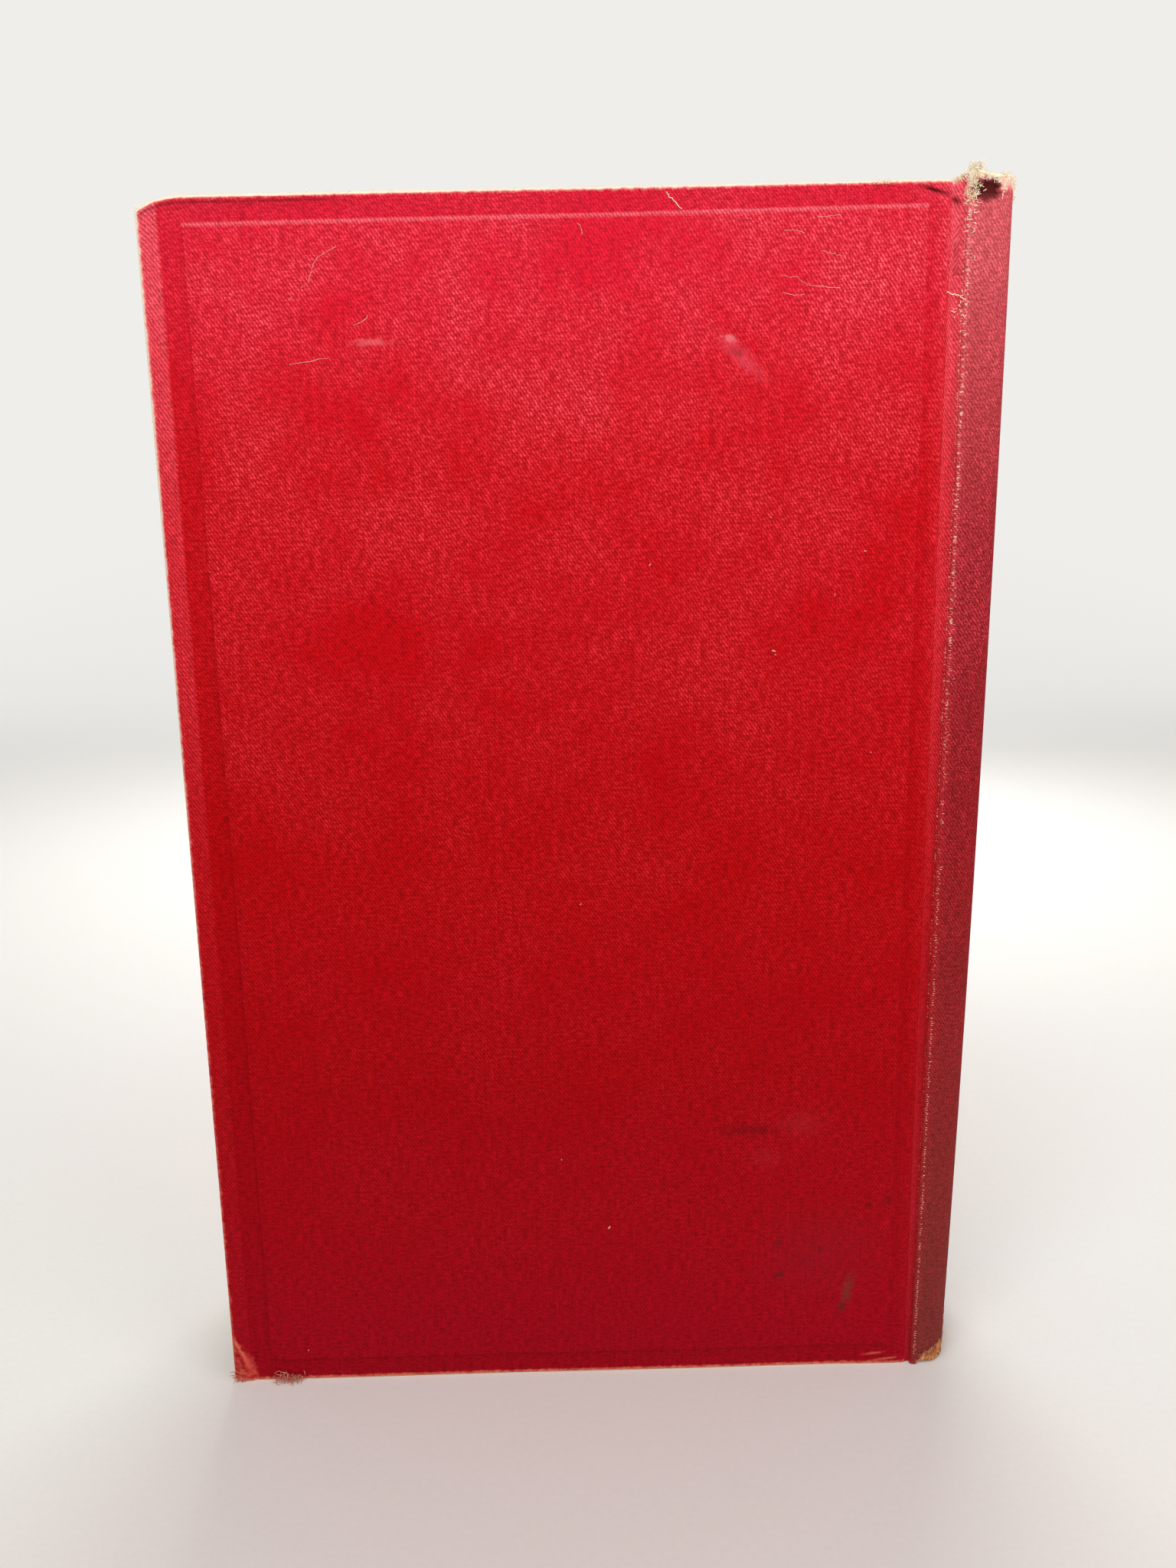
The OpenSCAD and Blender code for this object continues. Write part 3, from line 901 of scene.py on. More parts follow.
@dataclass
class CaseCloth:
    """The red cloth of the whole case: two covers, two joints and the spine between them."""

    section: CaseSection
    cover_finish: Material
    spine_finish: Material
    column_mm: float = 2.4
    row_mm: float = 2.4
    step_mm: float = 0.32
    bump_reach: float = 7.8
    bump_drop: float = 2.9
    tail_corner_r: float = 1.6
    corner_fade: float = 12.0
    turn_in: float = 15.0
    cover_flap: tuple = (1.3, 2.4, 5.0, 9.0)
    flap_short: float = 1.2  # keeps the flap's round corner inside the solid's square one
    end_flap: tuple = (1.5, 3.0, 6.0)
    end_r: float = 0.37
    joint_fold: float = 0.75
    spine_fold: float = 1.5
    warp_mm: float = 0.12
    groove_steps: int = 20
    bead_steps: int = 9
    round_steps: int = 58
    rim_z: float = 1.35
    slope_u: tuple = (8.0, 75.0, 130.0)
    slope_line: tuple = (0.0, 0.65, 1.45)
    slope_edge: tuple = (-0.12, 0.3, 0.75)
    ridge_rise: float = 0.8
    tear_start: float = 0.03
    tear_h: float = 6.2
    pocket_angle: float = 58.4
    pocket_half: float = 6.0
    pocket_z: float = 220.85
    pocket_h: float = 1.75
    pocket_d: float = 0.8
    crest_h: float = 1.35

    def build(self) -> None:
        """Makes all five pieces, and ties the covers' and the spine's cloth to their bodies."""
        for side in Side:
            self.cover(side)
            self.joint(side)
        self.spine()

    @property
    def cover_line(self) -> Array:
        """Face line of the cover from the fore edge to the joint's seam, without stamping.

        Returns:
            Rows of u, v.
        """
        sec = self.section
        marks = [sec.rim_w, sec.rim_w + sec.band_fore_w, sec.joint_u - sec.band_joint_w]
        flat = grid_lines(sec.edge_r, sec.joint_u - sec.arris_r, self.column_mm, marks, self.step_mm)
        corner = [0.95, 1.3, 1.8, 2.4]
        flat = np.array(sorted(set(flat) | set(corner)))
        line = np.stack([flat, np.full_like(flat, sec.face_v)], -1)
        bend = [sec.arris(angle) for angle in (75, 60, 45)]
        return np.vstack([line, bend, [sec.seam()]])

    @property
    def seam_s(self) -> float:
        """Cloth millimetres from the fore edge to the joint's seam."""
        return self.section.edge_r + line_lengths(self.cover_line)[-1]

    @property
    def full_s(self) -> float:
        """Length of the cloth from one fore edge over the spine to the other.

        Returns:
            Millimetres.
        """
        groove = line_lengths(self.section.groove_line(self.groove_steps))[-1]
        half = line_lengths(self.section.half_spine_line(self.bead_steps, self.round_steps))[-1]
        return 2 * (self.seam_s + groove + half)

    def rows(self) -> Array:
        """Heights of the grid's rows, tight at the stamped steps and near both ends.

        Returns:
            Rising heights.
        """
        sec = self.section
        marks = [self.rim_z, sec.band_tail_w, sec.height - sec.band_head_w, sec.height - self.rim_z]
        return grid_lines(sec.edge_r, sec.height - sec.edge_r, self.row_mm, marks, self.step_mm)

    def stamped(self, u: Array, z: Array) -> Array:
        """How far the stamping block pressed the cloth, from 0 on rim and panel to 1 in the sunk band.

        Args:
            u: Places across.
            z: Heights.

        Returns:
            Numbers from 0 to 1.
        """
        sec, half = self.section, self.step_mm * 0.8
        left, right = sec.rim_w + sec.band_fore_w, sec.joint_u - sec.band_joint_w
        low, high = sec.band_tail_w, sec.height - sec.band_head_w
        panel = (smooth(u, left - half, left + half) * (1 - smooth(u, right - half, right + half))
                 * smooth(z, low - half, low + half) * (1 - smooth(z, high - half, high + half)))
        return smooth(u, sec.rim_w - half, sec.rim_w + half) * (1 - panel)

    def cornered(self, u: Array, z: Array) -> Array:
        """Heights with the bumped head corner and the rounded tail corner taken off.

        Args:
            u: Places across.
            z: Heights on a plain rectangle.

        Returns:
            Heights on the worn outline.
        """
        radius = (self.bump_reach ** 2 + self.bump_drop ** 2) / (2 * self.bump_drop)
        into = np.clip(self.bump_reach - u, 0, self.bump_reach)
        drop = radius - np.sqrt(radius ** 2 - into ** 2)
        short = np.clip(self.tail_corner_r - u, 0, self.tail_corner_r)
        rise = self.tail_corner_r - np.sqrt(self.tail_corner_r ** 2 - short ** 2)
        near_head = np.clip((z - (self.section.height - self.corner_fade)) / self.corner_fade, 0, 1)
        near_tail = np.clip((self.corner_fade - z) / self.corner_fade, 0, 1) ** 2
        return z - drop * near_head + rise * near_tail + self.sloped(u, z)

    def sloped(self, u: Array, z: Array) -> Array:
        """How far the worn cloth has crept up toward the joint, at its stamped head line and its edge.

        Args:
            u: Places across.
            z: Heights.

        Returns:
            Millimetres.
        """
        top = self.section.height
        line = np.interp(u, self.slope_u, self.slope_line) * smooth(z, top - 60, top - 5)
        edge = np.interp(u, self.slope_u, self.slope_edge)
        at_edge = smooth(z, top - self.section.band_head_w, top - self.section.edge_r)
        return line * (1 - at_edge) + edge * at_edge

    def warp(self, u: Array, z: Array, side: Side) -> Array:
        """Slow waves of an old board, fading out at the joint.

        Args:
            u: Places across.
            z: Heights.
            side: Which cover.

        Returns:
            Millimetres outward.
        """
        phase = 0.4 if side is Side.BACK else 1.9
        wave = (np.sin(u / 31 + phase) * np.cos(z / 47 + 2 * phase) + 0.5 * np.sin(u / 13 + z / 21 + phase)
                + 0.25 * np.sin(z / 8 + u / 11))
        return self.warp_mm * (wave - 0.9) * (1 - smooth(u, 118, self.section.joint_u - 5)) * smooth(u, 1,
                14)

    def cover(self, side: Side) -> None:
        """Cloth over one board, with its turned-in edges.

        Args:
            side: Which cover.
        """
        sec = self.section
        line = self.cover_line
        s_line = sec.edge_r + line_lengths(line)
        u, z = np.meshgrid(line[:, 0], self.rows(), indexing="ij")
        pressed = self.stamped(u, z) * (u < sec.joint_u - sec.arris_r - 0.01)
        on_face = (np.arange(len(line)) < len(line) - 4)[:, None]
        v = line[:, 1][:, None] - np.where(on_face, sec.stamp_depth * pressed, 0) + self.warp(u, z, side)
        v = np.where(on_face & (u > sec.joint_u - 2), np.minimum(v, sec.face_v - sec.stamp_depth), v)
        s = np.broadcast_to(s_line[:, None], u.shape).copy()
        marks = self.cover_marks(u, z, pressed, on_face)
        grid = ClothGrid(sec, side, np.stack([u, v, self.cornered(u, z)], -1), self.along(s, side), z, marks)
        numbers = grid.lay()
        border = np.concatenate([numbers[::-1, -1], numbers[0, -2::-1], numbers[1:, 0]])
        grid.fold(border, self.cover_rings(grid, border))
        piece = grid.parts.build(f"{side.label}_cover_cloth", self.cover_finish)
        thicken(piece, sec.cloth_t)
        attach(piece, side.cover)
        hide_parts(f"{side.label}_cloth")

    def along(self, s: Array, side: Side) -> Array:
        """Cloth places across, counted on from the back cover's fore edge over the spine to the front's."""
        return s if side is Side.BACK else self.full_s - s

    def cover_marks(self, u: Array, z: Array, pressed: Array, on_face: Array) -> dict:
        """Wear marks of a cover's face, and painted shade along the crease under its head edge.

        Args:
            u: Places across.
            z: Heights.
            pressed: Stamped share.
            on_face: True before the cloth turns into the groove.

        Returns:
            Per-corner numbers by attribute name.
        """
        sec = self.section
        head = 0.5 * smooth(z, sec.height - 1.3, sec.height - 0.75)
        tail = 0.64 * (1 - smooth(z, 0.75, 1.3))
        fore = (1 - smooth(u, 0.5, 1.4)) * (0.42 + 0.25 * smooth(z, 150, 205))
        arris = smooth(u, sec.joint_u - 0.9, sec.joint_u - 0.4)
        corner = (1 - smooth(u + 0.35 * z, 2.0, 6.5)) * (1 - smooth(z, 5.0, 12.0))
        # Painted shade: a dark line along the crease under the worn head edge, on the left of the cover.
        crease = np.exp(-((z - (sec.height - self.rim_z)) / 0.24) ** 2) * (1 - smooth(u, 26, 42))
        edge = np.maximum.reduce([head, tail, fore, 0.2 * arris, 0.55 * corner])
        rim = (1 - smooth(u, sec.rim_w - 0.4, sec.rim_w + 0.1)) * (0.1 + 0.45 * smooth(z, 60, 215))
        # A pale line just below the stamped head band: partly rubbing and partly painted highlight where the
        # stamped step catches light from above.
        step = np.exp(-((z - (sec.height - sec.band_head_w - 0.3)) / 0.28) ** 2) * (pressed < 0.9) \
            * smooth(u, sec.rim_w + 2, sec.rim_w + 5) * (u < sec.joint_u - sec.band_joint_w)
        lifted = smooth(u, 126, 134) * smooth(z, sec.height - 5, sec.height - 2)
        rubbed = np.clip(rim + 0.95 * step + 0.08 * arris + 0.2 * lifted, 0, 1)
        return {"edge": edge, "pressed": pressed * on_face, "sun": np.zeros_like(u), "rubbed": rubbed,
                "soot": 0.55 * crease, "ridge": 0.1 * arris}

    def cover_rings(self, grid: ClothGrid, border: Array) -> list:
        """Rings that carry the cover's cloth over the board's edges and onto its inner face.

        Args:
            grid: The face, already laid.
            border: Its corner numbers along head, fore edge and tail.

        Returns:
            Rings for ClothGrid.fold.
        """
        sec = self.section
        flat = grid.columns.reshape(-1, 3)[border]
        s0, t0 = grid.s.ravel()[border], grid.t.ravel()[border]
        s_sign = 1 if grid.side is Side.BACK else -1
        out = self.outward(flat[:, [0, 2]])
        upper = smooth(t0, 60, 200)
        wear = np.where(t0 > sec.height - 1, 1.3 + 0.3 * (1 - smooth(flat[:, 0], 20, 70)), np.where(t0 < 1,
                        1.1, 0.78 + 0.5 * upper))
        depth = sec.face_v - sec.turn_v
        last = self.turn_in - sec.edge_r - self.flap_short
        steps = fold_steps(sec.edge_r, depth, (*self.cover_flap, last))
        rings = []
        for number, (reach, share, along) in enumerate(steps):
            v = flat[:, 1] + (sec.turn_v - flat[:, 1]) * share
            if reach >= 0:
                u, z = flat[:, 0] + out[:, 0] * reach, flat[:, 2] + out[:, 1] * reach
            else:
                u = -reach + flat[:, 0] * (sec.joint_u + reach) / sec.joint_u
                z = -reach + flat[:, 2] * (sec.height + 2 * reach) / sec.height
            zero = np.zeros_like(u)
            marks = {"edge": EDGE_WEAR.get(number, FLAP_WEAR) * wear, "pressed": zero, "sun": zero,
                     "rubbed": zero + 0.3 * (number < len(EDGE_WEAR)), "soot": zero, "ridge": zero}
            rings.append((np.stack([u, v, z], -1), s0 + s_sign * out[:, 0] * along, t0 + out[:, 1] * along,
                          marks))
        return rings

    def outward(self, border: Array) -> Array:
        """Outward directions along the border of a cover's face, longer at sharp corners.

        Args:
            border: Rows of u, z that run along head, fore edge and tail.

        Returns:
            Rows of u, z directions.
        """
        step = np.diff(border, axis=0)
        step /= np.linalg.norm(step, axis=1, keepdims=True)
        normal = np.stack([step[:, 1], -step[:, 0]], -1)
        before, after = np.vstack([normal[:1], normal]), np.vstack([normal, normal[-1:]])
        middle = before + after
        middle /= np.linalg.norm(middle, axis=1, keepdims=True)
        cosine = np.clip((middle * after).sum(1), 0.6, 1)
        middle /= cosine[:, None]
        middle[0], middle[-1] = (0, 1), (0, -1)
        return middle

    def joint(self, side: Side) -> None:
        """Cloth in the groove.

        Args:
            side: Which cover's joint.
        """
        sec = self.section
        line = sec.groove_line(self.groove_steps)
        lengths = line_lengths(line)
        share = lengths / lengths[-1]
        whole, inner = sec.height - 2 * self.end_r, sec.height - 2 * sec.edge_r
        z = self.end_r + ((self.rows() - sec.edge_r) * whole / inner)
        zz = z[None, :] + self.joint_rise(share)[:, None] * smooth(z[None, :], sec.height - 12, sec.height)
        u = sec.leaned(line[:, 0][:, None], zz, share[:, None] ** 1.2)
        straight = line[0, 1] + (line[-1, 1] - line[0, 1]) * share[:, None]
        filled = 0.75 * smooth(zz, sec.height - 6, sec.height - 1.5) + 0.45 * (1 - smooth(zz, 20, 90))
        v = line[:, 1][:, None] + (straight - line[:, 1][:, None]) * filled
        s = np.broadcast_to((self.seam_s + lengths)[:, None], u.shape)
        foot = np.broadcast_to(share[:, None], u.shape)
        zero = np.zeros_like(u)
        low_end, top = 1 - smooth(zz, 20, 90), z[-1] + self.joint_rise(foot)
        near_ridge = smooth(foot, 0.6, 1.0)
        edge = (0.3 * (1 - smooth(foot, 0.0, 0.22)) + 0.5 * smooth(zz, top - 1.2, top - 0.4)
                + 0.25 * smooth(foot, 0.8, 1.0) * smooth(zz, 30, 200))
        # The groove's cloth is lightened toward pink by the rubbed mark: partly real rubbing and partly
        # painted light that lifts the groove's shade, most at the tail.
        marks = {"edge": edge, "pressed": zero, "sun": 0.35 * near_ridge * (1 - low_end),
                 "rubbed": 0.45 + 0.12 * smooth(zz, 60, 200) + 0.4 * low_end, "soot": zero,
                 "ridge": 0.2 + 0.4 * near_ridge}
        grid = ClothGrid(sec, side, np.stack([u, v, zz], -1), self.along(s, side), zz, marks)
        self.end_folds(grid, grid.lay(), inward_normals(line), self.joint_fold, [range(len(line))])
        piece = grid.parts.build(f"{side.label}_joint_cloth", self.cover_finish)
        thicken(piece, sec.cloth_t)
        start, end = (sec.world(np.array([p[0], p[1], sec.height / 2]), side) * MM for p in (line[0],
                      line[-1]))
        side.cover
        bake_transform(piece)

    def joint_rise(self, share: Array) -> Array:
        """How far the head of a joint's cloth stands above the board, from its seam, 0, to the ridge, 1."""
        return self.slope_edge[-1] + self.ridge_rise * smooth(share, 0.05, 1.15)

    def end_folds(self, grid: ClothGrid, numbers: Array, inward: Array, depth: float,
                  tail_runs: list) -> None:
        """Folds the cloth in along the whole head and along the untorn stretches of the tail.

        Args:
            grid: Sheet already laid.
            numbers: Its corner numbers by column and row.
            inward: Unit u, v directions into the book by column.
            depth: Distance from the outer to the turned-in surface.
            tail_runs: Ranges of columns that are folded at the tail.
        """
        radius = min(self.end_r, depth / 2 - 0.005)
        steps = fold_steps(radius, depth, (*self.end_flap, self.turn_in))
        head = (-1, 1, list(range(len(numbers)))[::-1])
        for row, up, order in (head, *((0, -1, list(run)) for run in tail_runs)):
            rings = []
            for number, (reach, share, along) in enumerate(steps):
                points = grid.columns[order, row].copy()
                points[:, :2] += inward[order] * depth * share
                points[:, 2] += up * reach
                marks = {name: value[order, row] * 1.0 for name, value in grid.marks.items()}
                worn = EDGE_WEAR.get(number, END_FLAP_WEAR) + (0.2 if up > 0 else 0.0)
                marks["edge"] = np.full(len(order), worn)
                rings.append((points, grid.s[order, row], grid.t[order, row] + up * along, marks))
            grid.fold(numbers[order, row], rings)

    def tear_line(self, share: Array) -> Array:
        """Height of the torn tail edge of the spine's cloth.

        Args:
            share: Way from the ridge, 0, to the crest, 1.

        Returns:
            Heights in millimetres.
        """
        knots = (0, self.tear_start, 0.038, 0.06, 0.085, 0.11, 0.15, 0.185, 0.26, 0.4, 0.54, 0.68, 0.84, 1.0)
        heights = (0, 0, 1.1, 2.1, 2.6, 2.8, 3.5, 4.4, 4.2, 3.9, 4.3, 4.6, 5.3, self.tear_h)
        jag = 0.22 * np.sin(share * 61) + 0.16 * np.sin(share * 137 + 1)
        return np.interp(share, knots, heights) + jag * smooth(share, self.tear_start, 0.2)

    def crest_line(self, angle: Array) -> Array:
        """How far the frayed head of the spine rises above the boards.

        Args:
            angle: Degrees from the crest.

        Returns:
            Millimetres.
        """
        ridge = self.section.ridge_angle
        ripple = 0.22 * np.sin(angle / 4.3) + 0.16 * np.sin(angle / 1.9 + 1)
        return self.crest_h + ripple + 0.35 * smooth(np.abs(angle), ridge - 7, ridge)

    def spine(self) -> None:
        """Cloth from ridge to ridge, torn at the tail and frayed, with a sunk pocket, at the head."""
        sec = self.section
        half = sec.half_spine_line(self.bead_steps, self.round_steps)
        line = np.vstack([half, (half * [1, -1])[-2::-1]])
        lengths = line_lengths(line)
        middle = lengths[-1] / 2
        angle = np.degrees(np.arctan2(line[:, 1], line[:, 0] - sec.spine_circle[0]))
        share = np.clip((sec.ridge_angle - np.abs(angle)) / sec.ridge_angle, 0, 1)
        low, high = self.tear_line(share), sec.height - 0.4 + self.crest_line(angle)
        rows = np.concatenate([np.linspace(0, 0.06, 18)[:-1], np.linspace(0.06, 0.95, 84)[:-1],
                               np.linspace(0.95, 1, 48)])
        zz = low[:, None] + (high - low)[:, None] * rows[None, :]
        inward = inward_normals(line)
        dent = self.pocket(angle[:, None], zz)
        u = sec.leaned(line[:, 0][:, None], zz, np.ones_like(zz)) + inward[:, 0][:, None] * dent
        v = line[:, 1][:, None] + inward[:, 1][:, None] * dent
        s = np.broadcast_to((self.full_s / 2 - middle + lengths)[:, None], u.shape)
        marks = self.spine_marks(angle[:, None] + 0 * zz, zz, low[:, None] + 0 * zz, high[:, None] + 0 * zz)
        grid = ClothGrid(sec, Side.BACK, np.stack([u, v, zz], -1), s, zz, marks)
        whole = np.flatnonzero(share <= self.tear_start)
        ends = (whole[whole < len(line) / 2], whole[whole > len(line) / 2])
        runs = [range(run[0], run[-1] + 1) for run in ends]
        self.end_folds(grid, grid.lay(), inward, self.spine_fold, runs)
        piece = grid.parts.build("spine_cover_cloth", self.spine_finish)
        thicken(piece, sec.cloth_t)
        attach(piece, "book_block")
        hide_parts("spine_cloth")

    def pocket(self, angle: Array, z: Array) -> Array:
        """Depth of the collapsed pocket at the head of the spine, in millimetres."""
        return self.pocket_d * (1 - smooth(self.pocket_reach(angle, z), 0.72, 1.05))

    def pocket_reach(self, angle: Array, z: Array) -> Array:
        """Ragged distance from the middle of the pocket.

        Args:
            angle: Degrees from the crest.
            z: Heights.

        Returns:
            Shares of the pocket's half size, 1 at its rim.
        """
        across = (angle - self.pocket_angle) / self.pocket_half
        up = (z - self.pocket_z) / self.pocket_h
        ragged = 0.1 * np.sin(angle * 1.7) + 0.09 * np.sin(z * 5 + angle)
        return (np.abs(across) ** 3 + np.abs(up) ** 3) ** (1 / 3) + ragged

    def spine_marks(self, angle: Array, z: Array, low: Array, high: Array) -> dict:
        """Wear marks of the spine's cloth, and painted shade in the pocket at its head.

        Args:
            angle: Degrees from the crest, positive toward the back cover.
            z: Heights.
            low: Tail edge at each column.
            high: Head edge at each column.

        Returns:
            Per-corner numbers by attribute name.
        """
        away, ridge = np.abs(angle), self.section.ridge_angle
        ridge_line = np.exp(-((away - ridge - 0.4) / 2.2) ** 2)
        head = smooth(z, high - 2.6, high - 1.1)
        tail = (1 - smooth(z - low, 0.1, 0.7)) * 0.45
        near_ridge_head = smooth(away, ridge - 4, ridge - 0.5) * smooth(z, high - 9, high - 2.5)
        reach = self.pocket_reach(angle, z)
        rim = np.exp(-((reach - 1.2) / 0.18) ** 2) * smooth(z, self.pocket_z - 0.8, self.pocket_z)
        edge = np.maximum.reduce([0.9 * head, tail, 0.62 * near_ridge_head, 0.3 * ridge_line, 0.8 * rim])
        # Painted shade that darkens the collapsed pocket at the head, strongest toward its top.
        soot = (0.95 - 0.35 * smooth(self.pocket_z - z, 0.2, 1.8)) * (1 - smooth(reach, 0.7, 1.12))
        zero = np.zeros_like(z)
        sun = 1 - 0.9 * smooth(away, ridge + 0.3, ridge + 1.6)
        worn = 0.6 * ridge_line * (0.8 + 0.2 * smooth(z, 20, 190))
        return {"edge": edge * (1 - soot), "pressed": zero, "sun": sun, "rubbed": 0.15 + 0.35 * ridge_line,
                "soot": soot, "ridge": worn}


def strand(points: Array, radii: Array, sides: int = 5) -> tuple[Array, list]:
    """Sweeps a closed tube along a line of points.

    Args:
        points: Rows of X, Y, Z.
        radii: Radius at each point.
        sides: Corners round the tube.

    Returns:
        Corners and faces.
    """
    along = np.gradient(points, axis=0)
    along /= np.maximum(np.linalg.norm(along, axis=1, keepdims=True), 1e-9)
    helper = np.array([0.31, 0.52, 0.79])
    first = np.cross(along, helper)
    first /= np.maximum(np.linalg.norm(first, axis=1, keepdims=True), 1e-9)
    second = np.cross(along, first)
    turn = np.linspace(0, 2 * math.pi, sides, endpoint=False)
    ring = first[:, None] * np.cos(turn)[None, :, None] + second[:, None] * np.sin(turn)[None, :, None]
    corners = (points[:, None] + ring * np.asarray(radii)[:, None, None]).reshape(-1, 3)
    count = len(points)
    faces = [(k * sides + a, k * sides + (a + 1) % sides, (k + 1) * sides + (a + 1) % sides,
              (k + 1) * sides + a) for k in range(count - 1) for a in range(sides)]
    faces += [tuple(range(sides))[::-1], tuple((count - 1) * sides + a for a in range(sides))]
    return corners, faces


@dataclass
class Threads:
    """Loose cotton threads of one colour that ride together, drawn from their own seed."""

    name: str
    finish: Material
    seed: int
    parts: MeshParts = field(default_factory=MeshParts)
    draws: np.random.Generator = None

    def __post_init__(self) -> None:
        """Starts the draws."""
        self.draws = np.random.default_rng(self.seed)

    def fibre(self, root: Array, aim: Array, length: float, radius: float, curl: float = 0.5,
              droop: float = 0.0, points: int = 8) -> None:
        """Grows one curly fibre.

        Args:
            root: Where it leaves the cloth, in millimetres.
            aim: Direction in which it starts.
            length: Its length.
            radius: Its radius at the root.
            curl: How much its direction wanders.
            droop: How much it bends down.
            points: Points along it.
        """
        aim = np.asarray(aim, float) / np.linalg.norm(aim)
        place, line = np.asarray(root, float), []
        bend = self.draws.normal(0, 1, 3)
        for _ in range(points):
            line.append(place.copy())
            bend = 0.7 * bend + 0.5 * self.draws.normal(0, 1, 3)
            aim = aim + bend * curl / points * 2.2 - np.array([0, 0, droop / points])
            aim /= np.linalg.norm(aim)
            place = place + aim * length / (points - 1)
        radii = radius * np.linspace(1, 0.55, points)
        self.parts.add(*strand(np.array(line), radii))

    def loop(self, root: Array, across: Array, up: Array, size: float, radius: float) -> None:
        """Stands up one loop of thread.

        Args:
            root: Middle of its foot.
            across: Unit direction along the foot.
            up: Unit direction in which it stands.
            size: Its height.
            radius: Radius of the thread.
        """
        turn = np.linspace(-0.2, math.pi + 0.2, 11)
        wide = size * self.draws.uniform(0.3, 0.55)
        lean = self.draws.normal(0, 0.2, 3)
        line = (np.asarray(root) + np.outer(wide * np.cos(turn), across)
                + np.outer(size * np.sin(turn), np.asarray(up) + lean))
        line += self.draws.normal(0, 0.04 * size, line.shape)
        self.parts.add(*strand(line, np.full(len(line), radius)))

    def roll(self, line: Array, radius: float) -> None:
        """Lays a lumpy felted roll along a line of points.

        Args:
            line: Rows of X, Y, Z.
            radius: Mean radius of the roll.
        """
        swell = np.convolve(self.draws.normal(0, 1, len(line) + 4), np.ones(5) / 5, "valid")
        radii = radius * np.clip(1 + 0.45 * swell, 0.6, 1.6)
        corners, faces = strand(line, radii, 9)
        self.parts.add(corners + self.draws.normal(0, 0.1 * radius, corners.shape), faces)

    def lying(self, line: Array, radius: float, steps: int = 4, stray: float = 0.12) -> None:
        """Lays a thread along a few points, softened and a little stray.

        Args:
            line: Rows of X, Y, Z.
            radius: Radius of the thread.
            steps: Points for each stretch.
            stray: How far it strays from the line.
        """
        line = np.asarray(line, float)
        rough = np.arange(len(line))
        fine = np.linspace(0, len(line) - 1, (len(line) - 1) * steps + 1)
        points = np.stack([np.interp(fine, rough, line[:, k]) for k in range(3)], -1)
        points[1:-1] = 0.25 * points[:-2] + 0.5 * points[1:-1] + 0.25 * points[2:]
        points += self.draws.normal(0, stray, points.shape) * [1, 0.12, 1]
        self.parts.add(*strand(points, radius * self.draws.uniform(0.75, 1.1, len(points))))

    def build(self) -> Piece:
        """Makes the piece from all its threads."""
        return self.parts.build(self.name, self.finish)


